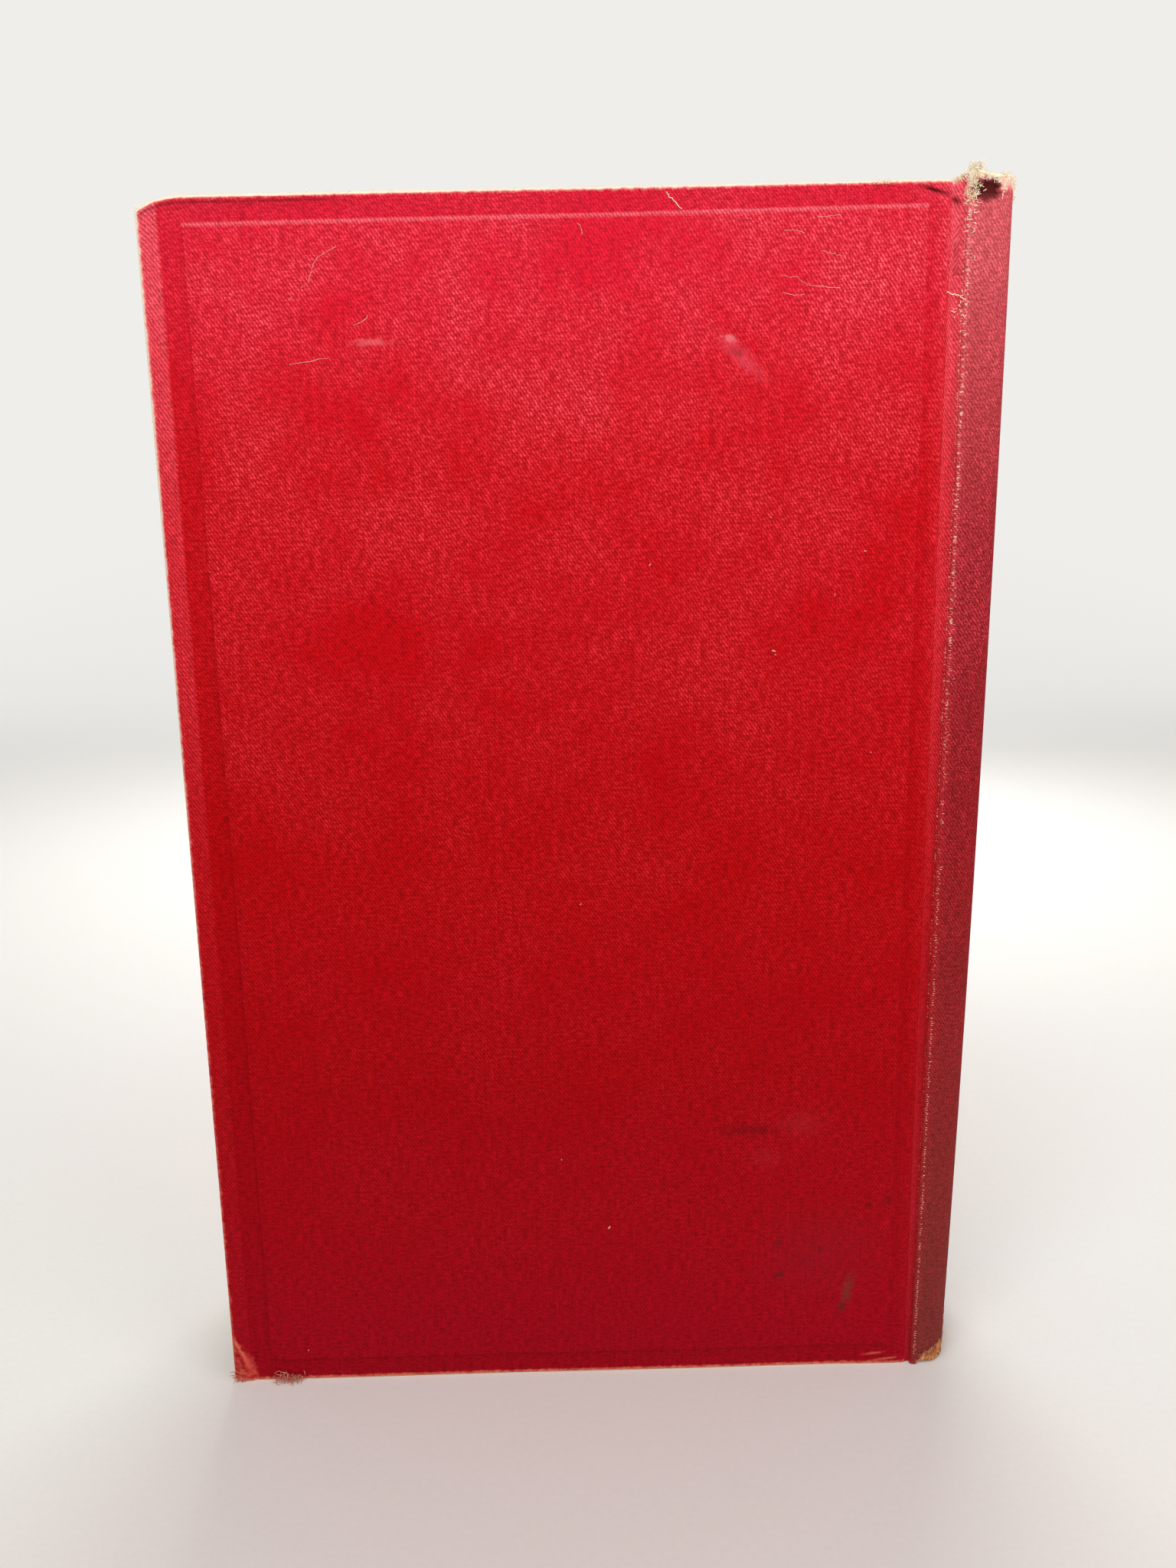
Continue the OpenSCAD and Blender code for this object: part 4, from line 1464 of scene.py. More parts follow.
@dataclass
class Fraying:
    """Worn places where the cloth's threads have come loose."""

    section: CaseSection
    cloth: CaseCloth
    cream: Material
    pink: Material
    rust: Material
    soiled: Material
    thread_r: float = 0.075
    head_curls: int = 1100
    pocket_curls: int = 130
    tuft_loops: int = 30
    ridge_head_curls: int = 150
    joint_curls: int = 170
    tail_threads: tuple = (110, 60)
    dash_mm: float = 0.46
    dash_z: tuple = (0, 12, 60, 100, 135, 160, 185, 205, 222)
    dash_share: tuple = (0.9, 0.85, 0.8, 0.6, 0.45, 0.7, 0.45, 0.8, 1.0)
    nick_u: float = 123.9

    def build(self) -> None:
        """Makes every group of loose threads, and ties all but the joints' threads to their bodies."""
        self.head_of_spine()
        self.tail_of_spine()
        self.ridges()
        self.back_cover()
        self.tail_corner()
        self.joints()

    def on_spine(self, angle: float, z: float, lift: float = 0.0) -> Array:
        """A point on the spine's round.

        Args:
            angle: Degrees from the crest, positive toward the back cover.
            z: Height.
            lift: Distance above the cloth.

        Returns:
            X, Y, Z in millimetres.
        """
        place, inward = (rows[0] for rows in self.section.spine_shape(angle))
        u, v = self.section.leaned(place[0], z, 1.0) - inward[0] * lift, place[1] - inward[1] * lift
        return self.section.world(np.array([u, v, z]), Side.BACK)

    def out_of_spine(self, angle: float) -> Array:
        """Direction straight out of the spine's cloth, at degrees from its crest."""
        inward_u, inward_v = self.section.spine_shape(angle)[1][0]
        return np.array([-inward_u, inward_v, 0.0])

    def along_spine(self, angle: float) -> Array:
        """Direction round the spine toward the back cover, at degrees from its crest."""
        inward_u, inward_v = self.section.spine_shape(angle)[1][0]
        return np.array([inward_v, inward_u, 0.0])

    def on_cover(self, u: float, z: float, lift: float = 0.0, side: Side = Side.BACK) -> Array:
        """A point on a cover's face.

        Args:
            u: Place across.
            z: Height.
            lift: Distance above the cloth.
            side: Which cover.

        Returns:
            X, Y, Z in millimetres.
        """
        sec = self.section
        pressed = float(self.cloth.stamped(np.array(u), np.array(z)))
        wave = float(self.cloth.warp(np.array(u), np.array(z), side))
        return sec.world(np.array([u, sec.face_v - sec.stamp_depth * pressed + wave + lift, z]), side)

    def head_of_spine(self) -> None:
        """Felted cream roll and curls along the torn head, with a tuft of loops beside the back ridge."""
        fray = Threads("head_fray_threads", self.cream, 11)
        draws, ridge, height = fray.draws, self.section.ridge_angle, self.section.height
        angles = np.linspace(ridge + 2, -ridge - 2, 170)
        crest = height + self.cloth.crest_line(angles)
        for lift, down, radius in ((-0.08, 0.32, 0.26), (-0.4, 0.15, 0.24)):
            fray.roll(np.array([self.on_spine(a, z - down, lift) for a, z in zip(angles, crest)]), radius)
        for angle in draws.uniform(-ridge - 2, ridge + 2, self.head_curls):
            z = height + float(self.cloth.crest_line(np.array(angle))) - draws.uniform(-0.1, 0.8)
            aim = (self.out_of_spine(angle) * draws.uniform(-0.2, 1.0) + np.array([0, 0,
                   draws.uniform(-0.3, 1.0)]) + self.along_spine(angle) * draws.normal(0, 0.8))
            fray.fibre(self.on_spine(angle, z, -draws.uniform(0, 0.4)), aim, draws.uniform(0.45, 1.15),
                       self.thread_r * draws.uniform(0.55, 1.2), 2.4)
        pocket = self.cloth.pocket_angle
        for turn in draws.uniform(0, 2 * math.pi, self.pocket_curls):
            angle = pocket + (self.cloth.pocket_half + 0.6) * math.cos(turn)
            z = self.cloth.pocket_z + 1.85 * math.sin(turn)
            if math.sin(turn) < -0.4:
                continue
            aim = self.out_of_spine(angle) * 0.6 + np.array([0, 0, draws.normal(0, 0.6)]) \
                + self.along_spine(angle) * draws.normal(0, 0.8)
            fray.fibre(self.on_spine(angle, z, -0.05), aim, draws.uniform(0.35, 0.9), self.thread_r * 0.9,
                       1.6)
        for _ in range(self.tuft_loops):
            angle = draws.normal(ridge - 1.5, 1.0)
            root = self.on_spine(angle, height + draws.uniform(1.0, 1.8), -0.2)
            up = np.array([draws.normal(0, 0.3), draws.normal(0, 0.3), 1.0])
            fray.loop(root, self.along_spine(angle), up, draws.uniform(0.6, 1.6), self.thread_r * 1.1)
        for _ in range(self.ridge_head_curls):
            angle = draws.normal(ridge - 0.6, 1.3)
            root = self.on_spine(angle, height + 1.2 - abs(draws.normal(0, 3.0)), 0.02)
            aim = self.out_of_spine(angle) * 0.3 + self.along_spine(angle) * draws.normal(0, 1) \
                + np.array([0, 0, draws.normal(0, 0.5)])
            fray.fibre(root, aim, draws.uniform(0.4, 1.1), self.thread_r * draws.uniform(0.7, 1.1), 1.2)
        piece = fray.build()
        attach(piece, "book_block")

    def tail_of_spine(self) -> None:
        """Short threads that hang from the torn tail edge of the spine, thickest beside the ridges."""
        fray = Threads("tail_fray_threads", self.rust, 59)
        draws, ridge = fray.draws, self.section.ridge_angle
        beside, round_crest = self.tail_threads
        shares = np.concatenate([draws.uniform(0.025, 0.2, beside), draws.uniform(0.2, 1.0, round_crest)])
        for share in shares:
            angle = ridge * (1 - share) * draws.choice((-1.0, 1.0))
            z = float(self.cloth.tear_line(np.array(share))) + draws.uniform(-0.2, 0.35)
            aim = (self.out_of_spine(angle) * draws.uniform(0.1, 0.8)
                   + self.along_spine(angle) * draws.normal(0, 0.5)
                   + np.array([0, 0, -draws.uniform(0.2, 1.0)]))
            fray.fibre(self.on_spine(angle, max(z, 0.9), -0.05), aim, draws.uniform(0.3, 0.8),
                       self.thread_r * draws.uniform(0.5, 0.9), 1.6)
        for part in fray.parts.points:
            part[:, 2] = np.maximum(part[:, 2], 0.08)
        piece = fray.build()
        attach(piece, "book_block")

    def ridges(self) -> None:
        """Bared weft threads that cross both ridges as short dashes, longest and closest near the head."""
        ridge = self.section.ridge_angle
        for side in Side:
            bared = Threads(f"{side.label}_ridge_threads", self.soiled, 23 if side is Side.BACK else 29)
            draws = bared.draws
            for z in np.arange(2.4, self.section.height - 2, self.dash_mm):
                z += draws.normal(0, 0.05)
                share = np.interp(z, self.dash_z, self.dash_share)
                patch = 0.5 + 0.5 * math.sin(z / 2.3 + math.sin(z / 7.0) * 2)
                if draws.random() > share * (0.5 + 0.7 * patch):
                    continue
                start = ridge + draws.normal(0.2, 0.15 + 0.5 * float(smooth(z, 60, 190)))
                wide = draws.uniform(0.4, 1.0)
                tilt = draws.normal(0, 0.02)
                turns = np.linspace(start, start - wide, 4) * -side.value
                line = np.array([self.on_spine(turn, z + tilt * step, 0.01) for step,
                                 turn in enumerate(turns)])
                bared.lying(line, self.thread_r * draws.uniform(0.55, 0.85), 2, 0.004)
            piece = bared.build()
            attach(piece, "book_block")

    def back_cover(self) -> None:
        """Threads, scratches and flecks on the back cover's face and edges."""
        pale = Threads("back_cover_threads", self.pink, 31)
        strands = (
            ((32.8, 213.2), (31.6, 212.6), (30.0, 212.0), (29.2, 210.9), (28.7, 209.8), (27.9, 207.7)),
            ((27.4, 207.3), (26.7, 207.0)), ((25.2, 205.6), (24.4, 205.0)),
            ((37.6, 202.4), (36.2, 201.2), (35.0, 200.9)), ((24.0, 194.7), (27.5, 195.3), (30.5, 195.9)),
            ((110.4, 217.6), (113.6, 217.0), (116.6, 217.1), (117.4, 217.9)),
            ((107.4, 215.0), (109.4, 214.9), (111.0, 214.4)),
            ((113.7, 211.7), (115.6, 211.2), (117.2, 210.8)),
            ((107.2, 207.9), (109.7, 207.6), (111.0, 206.6), (113.4, 206.0), (117.0, 205.8)),
            ((107.3, 205.1), (109.6, 204.7), (110.9, 204.9)), ((73.3, 216.4), (73.6, 215.4), (73.8, 214.6)))
        for line in strands:
            pale.lying([self.on_cover(u, z, 0.02) for u, z in line], self.thread_r, stray=0.08)
        for u, z, size in ((122.3, 162.3, 1.0), (84.6, 160.4, 0.9), (71.4, 98.6, 0.8), (75.7, 32.2, 1.1),
                           (124.5, 126.4, 0.8), (106.4, 145.1, 1.2), (106.9, 144.4, 0.8), (66.8, 47.1,
                           0.8), (117.4, 154.6, 0.8), (105.7, 168.3, 0.7), (15.2, 7.0, 0.9)):
            place = self.on_cover(u, z, 0.03)
            pale.fibre(place, (0.6, -0.3, 0.5), 0.55 * size, 0.17 * size, 1.5, points=5)
        piece = pale.build()
        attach(piece, "back_cover")
        edge = Threads("back_edge_threads", self.cream, 37)
        draws = edge.draws
        top = self.section.height
        for u in np.concatenate([draws.normal(self.nick_u, 0.7, 16), draws.uniform(6, 134, 60),
                                 draws.normal(89, 1.5, 7), draws.normal(96, 2, 6)]):
            place = np.array([u, self.section.face_v - draws.uniform(0.0, 0.9), top - 0.1])
            root = self.section.world(place, Side.BACK)
            tall = 1.3 if abs(u - self.nick_u) < 1.5 else 0.45
            edge.fibre(root, (draws.normal(0, 0.7), -0.6, 0.7), tall * draws.uniform(0.5, 1.1),
                       self.thread_r * 0.8, 1.3)
        edge.lying([self.on_cover(87.9, 221.1, 0.03), self.on_cover(88.4, 220.4, 0.1), self.on_cover(89.4,
                    219.6, 0.06), self.on_cover(90.4, 218.4, 0.02)], self.thread_r, stray=0.1)
        for aim, length in (((-0.6, -0.1, 0.9), 2.4), ((-0.9, -0.2, 0.45), 1.9), ((-0.3, -0.5, 0.5), 1.2)):
            root = self.section.world(np.array([0.6, self.section.face_v - 0.7, top - 2.9]), Side.BACK)
            edge.fibre(root, aim, length, self.thread_r * 1.3, 0.8)
        piece = edge.build()
        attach(piece, "back_cover")

    def tail_corner(self) -> None:
        """Rust-pink tufts at the back cover's fore tail corner and along its tail edge."""
        tuft = Threads("back_tail_threads", self.rust, 41)
        draws = tuft.draws
        sec = self.section
        for _ in range(46):
            u, z = abs(draws.normal(0.9, 1.0)) + 0.15, abs(draws.normal(0.8, 0.9)) + 0.15
            root = sec.world(np.array([u, sec.face_v - draws.uniform(0, 1.2), z]), Side.BACK)
            tuft.fibre(root, (draws.normal(-0.2, 0.8), -0.7, draws.normal(0.05, 0.35)), draws.uniform(0.6,
                       1.6), self.thread_r * draws.uniform(0.8, 1.4), 1.0)
        for _ in range(60):
            u = draws.normal(11.2, 1.5)
            root = sec.world(np.array([u, sec.face_v - 0.1, 0.55 + abs(draws.normal(0, 0.5))]), Side.BACK)
            tuft.fibre(root, (draws.normal(0, 0.6), -0.8, draws.normal(0.2, 0.6)), draws.uniform(0.8, 2.3),
                       self.thread_r * draws.uniform(0.8, 1.5), 1.1, 0.5)
        for part in tuft.parts.points:
            part[:, 2] = np.maximum(part[:, 2], 0.06 + 0.02 * np.sin(part[:, 0] * 9))
        piece = tuft.build()
        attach(piece, "back_cover")

    def joints(self) -> None:
        """Curls at the head of each joint, and white threads pulled out of a small tear in the back one."""
        sec = self.section
        line = sec.groove_line(20)
        start, end = line[0], line[-1]
        for side in Side:
            tear = Threads(f"{side.label}_joint_threads", self.cream, 43 if side is Side.BACK else 47)
            draws = tear.draws

            def at(share: float, z: float, lift: float, side: Side = side) -> Array:
                """A point above the groove's cloth.

                Args:
                    share: Way from the seam, 0, to the ridge, 1.
                    z: Height.
                    lift: Distance above the cloth.
                    side: Which cover's joint.

                Returns:
                    X, Y, Z in millimetres.
                """
                u, v = start + (end - start) * share
                depth = 0.55 * math.sin(math.pi * min(max(share, 0), 1)) * (z < sec.height - 4)
                return sec.world(np.array([sec.leaned(u, z, share), v - depth + lift, z]), side)

            for share in draws.uniform(0.05, 1.0, self.joint_curls):
                top = sec.height - 0.1 + float(self.cloth.joint_rise(np.array(share)))
                aim = (draws.normal(0, 0.8), side.value * draws.uniform(-0.4, 1), draws.uniform(-0.2, 1))
                tear.fibre(at(share, top - draws.uniform(0, 0.5), -draws.uniform(0, 0.5)), aim,
                           draws.uniform(0.3, 0.5 + 0.6 * share), 0.065 * draws.uniform(0.6, 1.2), 2.2)
            if side is Side.BACK:
                for points in (((-0.1, 204.9), (0.3, 204.7), (0.7, 204.6), (0.9, 204.0), (1.1, 203.7),
                                (1.3, 203.2)), ((0.3, 202.0), (0.5, 201.8)), ((1.0, 201.2), (1.2, 200.8),
                               (1.3, 200.3))):
                    tear.lying([at(share, z, 0.25) for share, z in points], 0.09, stray=0.06)
                for _ in range(14):
                    tear.fibre(at(draws.uniform(0.5, 1.1), draws.normal(202.8, 1.2), 0.12),
                               (draws.normal(0, 1), -0.5, draws.normal(0, 0.6)), draws.uniform(0.3, 0.7),
                               0.06, 1.2)
            piece = tear.build()
            low, high = (sec.world(np.array([p[0], p[1], sec.height / 2]), side) * MM for p in (start, end))
            side.cover
            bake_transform(piece)


@dataclass
class SpineCard:
    """Brown card inside the spine's cloth, torn into layers where the tail of the spine is gone."""

    section: CaseSection
    cloth: CaseCloth
    finish: Material
    margin_deg: float = 1.6
    cover_t: float = 0.41
    card_t: float = 0.5
    end_gap: float = 0.35
    flakes: int = 60
    flake_t: float = 0.14

    def build(self) -> None:
        """Makes the card and the flakes that stand off its torn end."""
        sec = self.section
        half_angle = sec.ridge_angle - self.margin_deg
        angles = np.linspace(half_angle, -half_angle, 96)
        share = 1 - np.abs(angles) / sec.ridge_angle
        rows = np.concatenate([np.linspace(0, 0.045, 22)[:-1], np.linspace(0.045, 1, 60)])
        ragged = 0.12 * smooth(share, 0.03, 0.1) * (1 + np.sin(angles * 1.9) * np.sin(angles * 0.37))
        foot = self.end_gap + self.bitten(angles) + ragged
        low_rim = self.cloth.pocket_z - 2.1
        half_notch = self.cloth.pocket_half
        notch = 1 - smooth(np.abs(angles - self.cloth.pocket_angle), half_notch + 0.5, half_notch + 2)
        top = sec.height - self.end_gap - (sec.height - self.end_gap - low_rim) * notch
        z = foot[:, None] + (top - foot)[:, None] * rows[None, :]
        tear_z = self.cloth.tear_line(share)[:, None]
        torn = 1 - smooth(z, tear_z - 0.4, tear_z + 0.2)
        rough = (np.sin(z * 3.1 + angles[:, None] * 0.8) * np.sin(angles[:, None] * 1.9 - z)
                 + 0.6 * np.sin(z * 7 + angles[:, None] * 3.1))
        depth = self.cover_t - 0.14 * torn * rough
        place, inward = sec.spine_shape(angles)
        u = sec.leaned(place[:, :1], z, np.ones_like(z)) + inward[:, :1] * depth
        v = place[:, 1:] + inward[:, 1:] * depth
        parts = MeshParts()
        parts.add(sec.world(np.stack([u, v, z], -1), Side.BACK).reshape(-1, 3), grid_faces(*z.shape,
                  flipped=True))
        piece = parts.build("spine_card", self.finish)
        thicken(piece, self.card_t)
        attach(piece, "book_block")
        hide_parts("spine_inlay")
        self.loose_layers()

    def bitten(self, degrees: Array) -> Array:
        """Height of the card that broke away round the crest, at angles from it."""
        return 2.2 * (1 - smooth(np.abs(degrees), 8, 26))

    def loose_layers(self) -> None:
        """Curled flakes of card at the torn tail."""
        sec = self.section
        radius = sec.spine_circle[1]
        draws = np.random.default_rng(53)
        parts = MeshParts()
        for _ in range(self.flakes):
            angle = draws.uniform(-56, 58) if draws.random() < 0.4 else draws.uniform(24, 60)
            share = 1 - abs(angle) / sec.ridge_angle
            room = float(self.cloth.tear_line(np.array([share]))[0])
            foot = 0.4 + float(self.bitten(np.array(angle)))
            z0 = draws.uniform(foot, max(foot + 0.2, room - 0.7))
            wide, tall = draws.uniform(0.5, 1.8), draws.uniform(0.6, 1.7)
            tilt, lift = draws.normal(0, 0.4), draws.uniform(0.08, 0.35)
            across, up = np.meshgrid(np.linspace(-0.5, 0.5, 7), np.linspace(0, 1, 4), indexing="ij")
            ragged = 1 + 0.35 * np.sin(across * 17 + angle) * up
            place, inward = sec.spine_shape((angle + np.degrees(across * wide / radius)).ravel())
            rise = (lift * up ** 2 + 0.06 * np.sin(across * 9 + angle) - self.cover_t + 0.05).ravel()
            v = place[:, 1] - inward[:, 1] * rise
            z = z0 + tall * up * ragged + tilt * across * wide * 0.5
            z = np.maximum(z, 0.08).ravel()
            u = sec.leaned(place[:, 0], z, 1.0) - inward[:, 0] * rise
            points = sec.world(np.stack([u, v, z], -1), Side.BACK)
            columns, rows = up.shape
            numbers = np.arange(up.size).reshape(up.shape)
            quads = [(numbers[i, j], numbers[i + 1, j], numbers[i + 1, j + 1], numbers[i, j + 1])
                     for i in range(columns - 1) for j in range(rows - 1)]
            parts.add(points.reshape(-1, 3), quads)
        piece = parts.build("torn_card_layers", self.finish)
        thicken(piece, self.flake_t)
        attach(piece, "book_block")


@dataclass
class LeaningLeaves:
    """The leaves and what is glued to their folds: the frame's own shapes, leaning with the worn spine."""

    section: CaseSection
    still_u: float = 132.0
    slice_mm: float = 9.0
    sharp_deg: float = 35.0

    def build(self, node: str, name: str, material: Material, slot: str) -> None:
        """Makes the leaning copy of one node.

        Args:
            node: Name of the node that the copy stands for.
            name: Name of the piece.
            material: Its material.
            slot: Material slot of the record; not used.
        """
        sec, work = self.section, bmesh.new()
        work.from_mesh(frame["nodes"][node].data)
        bmesh.ops.remove_doubles(work, verts=work.verts, dist=0.0005 * MM)
        low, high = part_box(node)
        for z in np.arange(low.z / MM + self.slice_mm, high.z / MM, self.slice_mm):
            whole = [*work.verts, *work.edges, *work.faces]
            bmesh.ops.bisect_plane(work, geom=whole, plane_co=(0, 0, z * MM), plane_no=(0, 0, 1))
        for vertex in work.verts:
            u, z = vertex.co.x / MM - sec.fore_x, vertex.co.z / MM
            share = float(smooth(u, self.still_u, sec.ridge_centre[0]))
            vertex.co.x = (float(sec.leaned(u, z, share)) + sec.fore_x) * MM
        mesh = bpy.data.meshes.new(name)
        work.to_mesh(mesh)
        work.free()
        mesh.shade_smooth()
        mesh.set_sharp_from_angle(angle=math.radians(self.sharp_deg))
        piece = add_piece(name, mesh, material)
        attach(piece, "book_block")
        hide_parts(node)


@dataclass
class EndpaperJoints:
    """Paper that joins each pastedown to its flyleaf."""

    section: CaseSection
    finish: Material
    leaf_u: float = 131.0
    paper_v: float = 15.66
    paper_t: float = 0.06
    low: float = 3.2
    high: float = 218.8

    def build(self) -> None:
        """Makes one strip at each cover."""
        sec = self.section
        for side in Side:
            edge_u = sec.joint_u - 0.1
            u, z = np.meshgrid(np.linspace(edge_u, self.leaf_u, 24), np.linspace(self.low, self.high, 30),
                               indexing="ij")
            points = sec.world(np.stack([u, np.full_like(u, self.paper_v), z], -1), side)
            parts = MeshParts()
            parts.add(points.reshape(-1, 3), grid_faces(*u.shape, flipped=side is Side.FRONT))
            piece = parts.build(f"{side.label}_endpaper_joint", self.finish)
            thicken(piece, self.paper_t)
            start, end = (tuple(sec.world(np.array([u_end, self.paper_v, sec.height / 2]), side) * MM)
                          for u_end in (edge_u, self.leaf_u))
            side.cover
            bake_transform(piece)


@dataclass(frozen=True)
class BandFinish:
    """Twisted cotton band at head and tail: two colours that alternate along its bead."""

    name: str
    centre_x: float
    stripe_deg: float = 3.4
    light: str = "#d9cdb0"
    dark: str = "#8e2f2a"

    def build(self) -> Material:
        """Makes the material, whose stripes follow the angle about the spine's middle line.

        Returns:
            The material.
        """
        material, add = new_material(self.name)
        place = add("TexCoord", out="Object")
        split = add("SeparateXYZ", {0: place}).node
        reach = add("Math", {0: split.outputs[0], 1: self.centre_x * MM}, operation="SUBTRACT")
        angle = add("Math", {0: split.outputs[1], 1: reach}, operation="ARCTAN2")
        phase = add("Math", {0: angle, 1: 2 * math.pi / math.radians(self.stripe_deg)},
                    operation="MULTIPLY")
        wave = add("Math", {0: phase}, operation="SINE")
        stripe = add("MapRange", {0: wave, 1: -0.25, 2: 0.25})
        colour = add("Mix", {0: stripe, 6: linear(self.dark), 7: linear(self.light)}, **RGBA)
        dust = add("TexNoise", {"Vector": place, "Scale": 900.0, "Detail": 4.0})
        colour = add("Mix", {0: add("MapRange", {0: dust, 3: 0.1, 4: 0.6}), 6: colour,
                             7: linear("#a08a68")}, **RGBA)
        bump = add("Bump", {"Strength": 0.7, "Distance": 0.15 * MM, "Height": wave})
        shader = add("BsdfPrincipled", {"Base Color": colour, "Roughness": 0.8, "Normal": bump})
        add("OutputMaterial", {0: shader})
        return material


@dataclass
class Studio:
    """Pale floor, soft lamps and the camera at the photograph's viewing angle."""

    section: CaseSection
    focal_px: float = 1540.0
    camera_mm: tuple = (70.3, 229.05, 164.2)
    right: tuple = (0.99971, -0.01716, -0.0168)
    up: tuple = (0.01988, 0.19871, 0.97986)
    sensor_mm: float = 36.0
    floor_colour: str = "#e9e7e3"
    haze_colour: str = "#efeeeb"
    haze_m: tuple = (0.45, 1.5)
    sky_colour: str = "#f6f5f3"
    sky_strength: float = 0.36
    half_mm: float = 2500.0
    floor_depth: float = 900.0
    bend_r: float = 500.0
    wall_top: float = 2600.0
    floor_drop: float = 0.02
    lamps: tuple = (("key", (-150, -420, 560), (0, 0, 150), 420, 2.2),
                    ("fill", (430, -380, 230), (30, 0, 110), 420, 1.3),
                    ("back_light", (60, 480, 420), (0, 0, 120), 420, 2.0),
                    ("backdrop_light", (0, 500, 900), (0, 1500, 300), 900, 7.0))

    def build(self) -> None:
        """Makes camera, floor, lamps and world."""
        self.camera()
        self.floor()
        for lamp in self.lamps:
            self.lamp(*lamp)
        self.world()

    def camera(self) -> None:
        """Places the camera that the photograph's perspective gives."""
        data = bpy.data.cameras.new("camera")
        data.sensor_fit = "AUTO"
        data.sensor_width = self.sensor_mm
        data.lens = self.focal_px * self.sensor_mm / IMAGE_H
        data.clip_start = 0.01
        camera = bpy.data.objects.new("camera", data)
        bpy.context.scene.collection.objects.link(camera)
        right, up = np.array(self.right), np.array(self.up)
        back = np.cross(right, up)
        basis = np.eye(4)
        basis[:3, 0], basis[:3, 1], basis[:3, 2] = right, up, back / np.linalg.norm(back)
        basis[:3, 3] = self.section.world(np.array(self.camera_mm), Side.BACK) * MM
        camera.matrix_world = Matrix(basis.tolist())
        bpy.context.scene.camera = camera

    def floor(self) -> None:
        """Lays a wide pale sheet under the book that curves up behind it."""
        material, add = new_material("matt_backdrop_paper")
        grain = add("TexNoise", {"Vector": add("TexCoord", out="Object"), "Scale": 900.0})
        tone = add("MapRange", {0: grain, 3: 0.97, 4: 1.03})
        tone = add("CombineColor", {0: tone, 1: tone, 2: tone})
        colour = add("Mix", {0: 1.0, 6: linear(self.floor_colour), 7: tone}, **RGBA, blend_type="MULTIPLY")
        shader = add("BsdfPrincipled", {"Base Color": colour, "Roughness": 0.9})
        away = add("VectorMath", {0: add("TexCoord", out="Object")}, out="Value", operation="LENGTH")
        far = add("MapRange", {0: away, 1: self.haze_m[0], 2: self.haze_m[1]},
                  interpolation_type="SMOOTHSTEP")
        seen = add("LightPath", out="Is Camera Ray")
        far = add("Math", {0: far, 1: seen}, operation="MULTIPLY")
        haze = add("Emission", {0: linear(self.haze_colour), 1: 1.0})
        add("OutputMaterial", {0: add("MixShader", {0: far, 1: shader, 2: haze})})
        parts = MeshParts()
        bend = [(self.floor_depth + self.bend_r * math.sin(a), self.bend_r - self.bend_r * math.cos(a))
                for a in np.radians(np.linspace(0, 90, 13))]
        profile = [(-self.half_mm, 0.0), (-400.0, 0.0), (400.0, 0.0), *bend,
                   (self.floor_depth + self.bend_r, self.wall_top)]
        points = [(x, y, z - self.floor_drop) for y, z in profile for x in (-self.half_mm, self.half_mm)]
        faces = [(2 * k, 2 * k + 1, 2 * k + 3, 2 * k + 2) for k in range(len(profile) - 1)]
        parts.add(np.array(points), faces)
        floor = parts.build("floor", material)

    def lamp(self, name: str, place: tuple, aim: tuple, size: float, power: float) -> None:
        """Hangs a square soft lamp.

        Args:
            name: Name of the lamp.
            place: Where it hangs, in millimetres.
            aim: What it points at.
            size: Side of its square, in millimetres.
            power: Watts.
        """
        data = bpy.data.lights.new(name, "AREA")
        data.size = size * MM
        data.energy = power
        lamp = bpy.data.objects.new(name, data)
        bpy.context.scene.collection.objects.link(lamp)
        moved = Matrix.Translation([p * MM for p in place])
        back = np.array(place, float) - np.array(aim, float)
        back /= np.linalg.norm(back)
        right = np.cross([0, 0, 1.0], back)
        right /= np.linalg.norm(right)
        turned = np.eye(4)
        turned[:3, 0], turned[:3, 1], turned[:3, 2] = right, np.cross(back, right), back
        lamp.matrix_world = moved @ Matrix(turned.tolist())

    def world(self) -> None:
        """Gives an even pale light from all round, white where the camera sees it."""
        world = bpy.data.worlds.new("studio")
        bpy.context.scene.world = world
        world.use_nodes = True
        world.node_tree.nodes.clear()
        add = partial(add_node, world.node_tree)
        seen = add("LightPath", out="Is Camera Ray")
        light = add("Background", {0: linear(self.sky_colour), 1: self.sky_strength})
        haze = add("Background", {0: linear(self.haze_colour), 1: 1.0})
        add("OutputWorld", {0: add("MixShader", {0: seen, 1: light, 2: haze})})
        bpy.context.scene.view_settings.view_transform = "Standard"


def dress(name: str, material: Material) -> None:
    """Gives a CAD node its material.

    Args:
        name: Name of the node.
        material: Material for all its faces.
    """
    node = frame["nodes"][name]
    node.data.materials.clear()
    node.data.materials.append(material)
    LOG.info("%s dressed in %s", name, material.name)


# Undyed cotton, carded open where the cloth frayed: matt cream fluff with a warm tinge.
BARE_COTTON = FibreFinish("bare_cotton_thread", "#fffcf2", "#fae4ba", grain_mm=0.8, spots="#f0b47c",
                          spot_mm=2.5, spot_share=0.5, relief_mm=0.02)
# Cotton thread that kept some of its red dye: matt, light pink.
PINK_COTTON = FibreFinish("pink_cotton_thread", "#f2a7a4", "#d65e64", grain_mm=0.8, spots="#c8404a",
                          spot_mm=3, relief_mm=0.02)
# Cotton thread that rubbed on the shelf: matt, brownish pink.
RUST_COTTON = FibreFinish("rusty_cotton_thread", "#e39a80", "#b8503c", grain_mm=0.7, spots="#8c3a24",
                          spot_mm=3, spot_share=0.5, relief_mm=0.02)
# Bared cotton thread with hand soil on it: matt cream with pinkish brown places.
SOILED_COTTON = FibreFinish("soiled_cotton_thread", "#f4d6bc", "#dc9c84", grain_mm=0.8, spots="#b86a4c",
                            spot_mm=2, relief_mm=0.02)
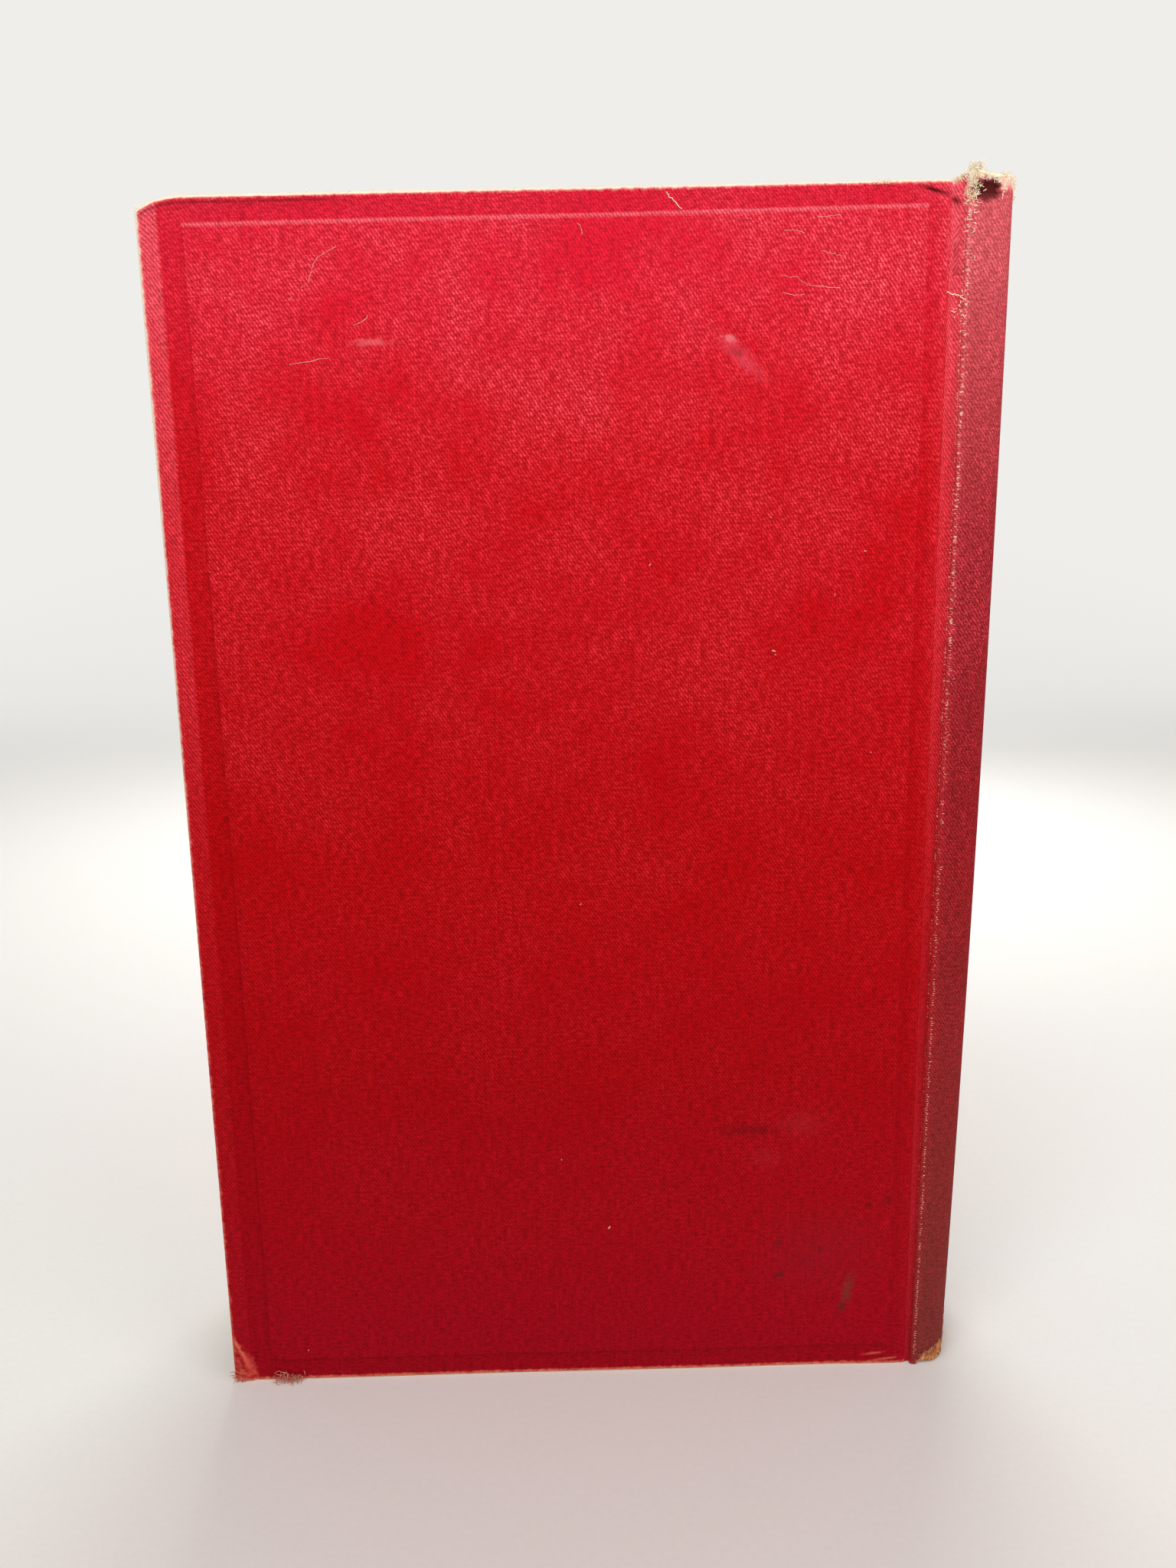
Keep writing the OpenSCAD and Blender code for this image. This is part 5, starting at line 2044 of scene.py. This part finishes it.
# Brown wood-pulp card, torn across its layers: matt, fibrous, orange-brown, with dark spots painted in as
# the shade of its hollows.
TORN_CARD = FibreFinish("torn_brown_card", "#e6a468", "#b05c32", Grain.UPRIGHT, 0.9, (0.42, 0.58),
                        spots="#4c2214", spot_mm=1.3, spot_share=0.8, relief_mm=0.35)
# Wove endpaper, toned with age: matt cream with faint cloudy brown spots.
ENDPAPER = FibreFinish("wove_endpaper", "#e6dabf", "#d9c9a6", grain_mm=1.5, spots="#b08d5c", spot_mm=14,
                       spot_share=0.5, relief_mm=0.02)
# Uncoated book paper, trimmed: fine lines of leaves, drawn 0.25 mm apart where real ones are 0.1 mm.
BOOK_PAPER = FibreFinish("aged_book_paper", "#dfcfa9", "#a88a5e", Grain.LEAVES, 0.6, (0.3, 0.7),
                         spots="#8f6d43", spot_mm=11, spot_share=0.45, relief_mm=0.12)
# Rolled grey board of waste paper: matt and speckled.
GREY_BOARD = FibreFinish("grey_pulp_board", "#a39681", "#6f6454", grain_mm=0.7, relief_mm=0.08)
# Open cotton gauze, stiff with size: matt, a coarse weave stained by glue.
GAUZE = FibreFinish("sized_mull_gauze", "#d8cbae", "#8c7b5e", Grain.WOVEN, 0.9, relief_mm=0.15)
# Kraft lining paper: matt brown with faint upright fibres.
KRAFT_PAPER = FibreFinish("kraft_lining_paper", "#a77b4f", "#86603c", Grain.UPRIGHT, 1.2, relief_mm=0.03)
# Marks on the back cover: drips, a scuffed star, a smear, dark spots, a crease drawn as painted shade, and
# scraped tail edges.
BACK_STAINS_AND_SHADE = (
    ClothMark(123.3, 17.4, 1.4, 4.6, "#5a3a2e", 0.5, -12), ClothMark(122.3, 13.5, 1.0, 1.6, "#46241e", 0.6),
    ClothMark(100.2, 194.6, 7.0, 1.7, "#e85466", 0.45, -42),
    ClothMark(98.7, 197.3, 1.8, 0.8, "#f08a90", 0.5, -20), ClothMark(99.6, 195.1, 1.6, 1.0, "#8a1420", 0.55, -30),
    ClothMark(103.3, 52.4, 8.0, 1.7, "#6a0810", 0.55, -1), ClothMark(113.5, 53.4, 5.6, 3.4, "#ac3038", 0.16),
    ClothMark(106.5, 46.5, 4.4, 2.4, "#ac3038", 0.12), ClothMark(127.1, 35.8, 1.1, 1.0, "#5a0c14", 0.6),
    ClothMark(130.8, 36.8, 1.2, 1.4, "#5a0c14", 0.6, 30), ClothMark(109.4, 28.0, 1.0, 1.2, "#5e1418", 0.6),
    ClothMark(114.6, 24.0, 1.0, 0.8, "#5e1418", 0.6), ClothMark(117.6, 26.3, 0.8, 0.8, "#5e1418", 0.55),
    ClothMark(109.6, 20.9, 1.5, 1.0, "#54181a", 0.6, 15), ClothMark(118.0, 26.0, 15.0, 12.0, "#861a26", 0.25),
    ClothMark(38.0, 198.0, 4.0, 0.8, "#f08088", 0.4),
    # Painted shade: two dark marks along the fold crease at the head by the joint.
    ClothMark(132.6, 219.9, 3.6, 0.62, "#56080c", 1.0, -21, 0.3),
    ClothMark(136.6, 219.4, 1.6, 0.8, "#6e0a12", 0.9, -21, 0.3),
    ClothMark(129.0, 2.6, 2.8, 0.4, "#d8604e", 0.65, 6, 0.5),
    ClothMark(131.4, 1.3, 3.4, 0.35, "#d8705e", 0.6, 6, 0.5), ClothMark(1.9, 6.6, 0.6, 6.4, "#e2705a", 0.85, 24),
    ClothMark(3.3, 3.6, 1.3, 4.4, "#cf4a40", 0.8, 16))


def main() -> None:
    """Builds the studio and every piece of the book in order."""
    logging.basicConfig(level=logging.INFO, format="%(name)s: %(message)s")
    section = CaseSection()
    Studio(section).build()
    cover_cloth = BookCloth("starched_book_cloth", section.height, stains_and_shade=BACK_STAINS_AND_SHADE).build()
    middle_s = CaseCloth(section, cover_cloth, cover_cloth).full_s / 2
    foil = (middle_s, 170.3, 17.6, 3.25, 0.5)
    spine_cloth = BookCloth("faded_book_cloth", section.height, foil=foil).build()
    cloth = CaseCloth(section, cover_cloth, spine_cloth)
    cloth.build()
    threads = (finish.build() for finish in (BARE_COTTON, PINK_COTTON, RUST_COTTON, SOILED_COTTON))
    Fraying(section, cloth, *threads).build()
    card, endpaper = TORN_CARD.build(), ENDPAPER.build()
    SpineCard(section, cloth, card).build()
    EndpaperJoints(section, endpaper).build()
    band_x = section.spine_circle[0] + section.fore_x
    board, gauze = GREY_BOARD.build(), GAUZE.build()
    band = BandFinish("striped_cotton_band", band_x).build()
    for side in Side:
        dress(f"{side.label}_board", board)
        dress(f"{side.label}_pastedown", endpaper)
        dress(f"{side.label}_flyleaf", endpaper)
        dress(f"{side.label}_mull_flange", gauze)
    leaves = LeaningLeaves(section)
    leaves.build("text_block", "sewn_leaves", BOOK_PAPER.build(), "text_paper")
    leaves.build("spine_mull", "spine_gauze", gauze, "mull_gauze")
    leaves.build("spine_lining", "spine_lining_paper", KRAFT_PAPER.build(), "kraft_paper")
    leaves.build("head_band", "head_band_cotton", band, "band_cotton")
    leaves.build("tail_band", "tail_band_cotton", band, "band_cotton")


if __name__ == "__main__":
    main()
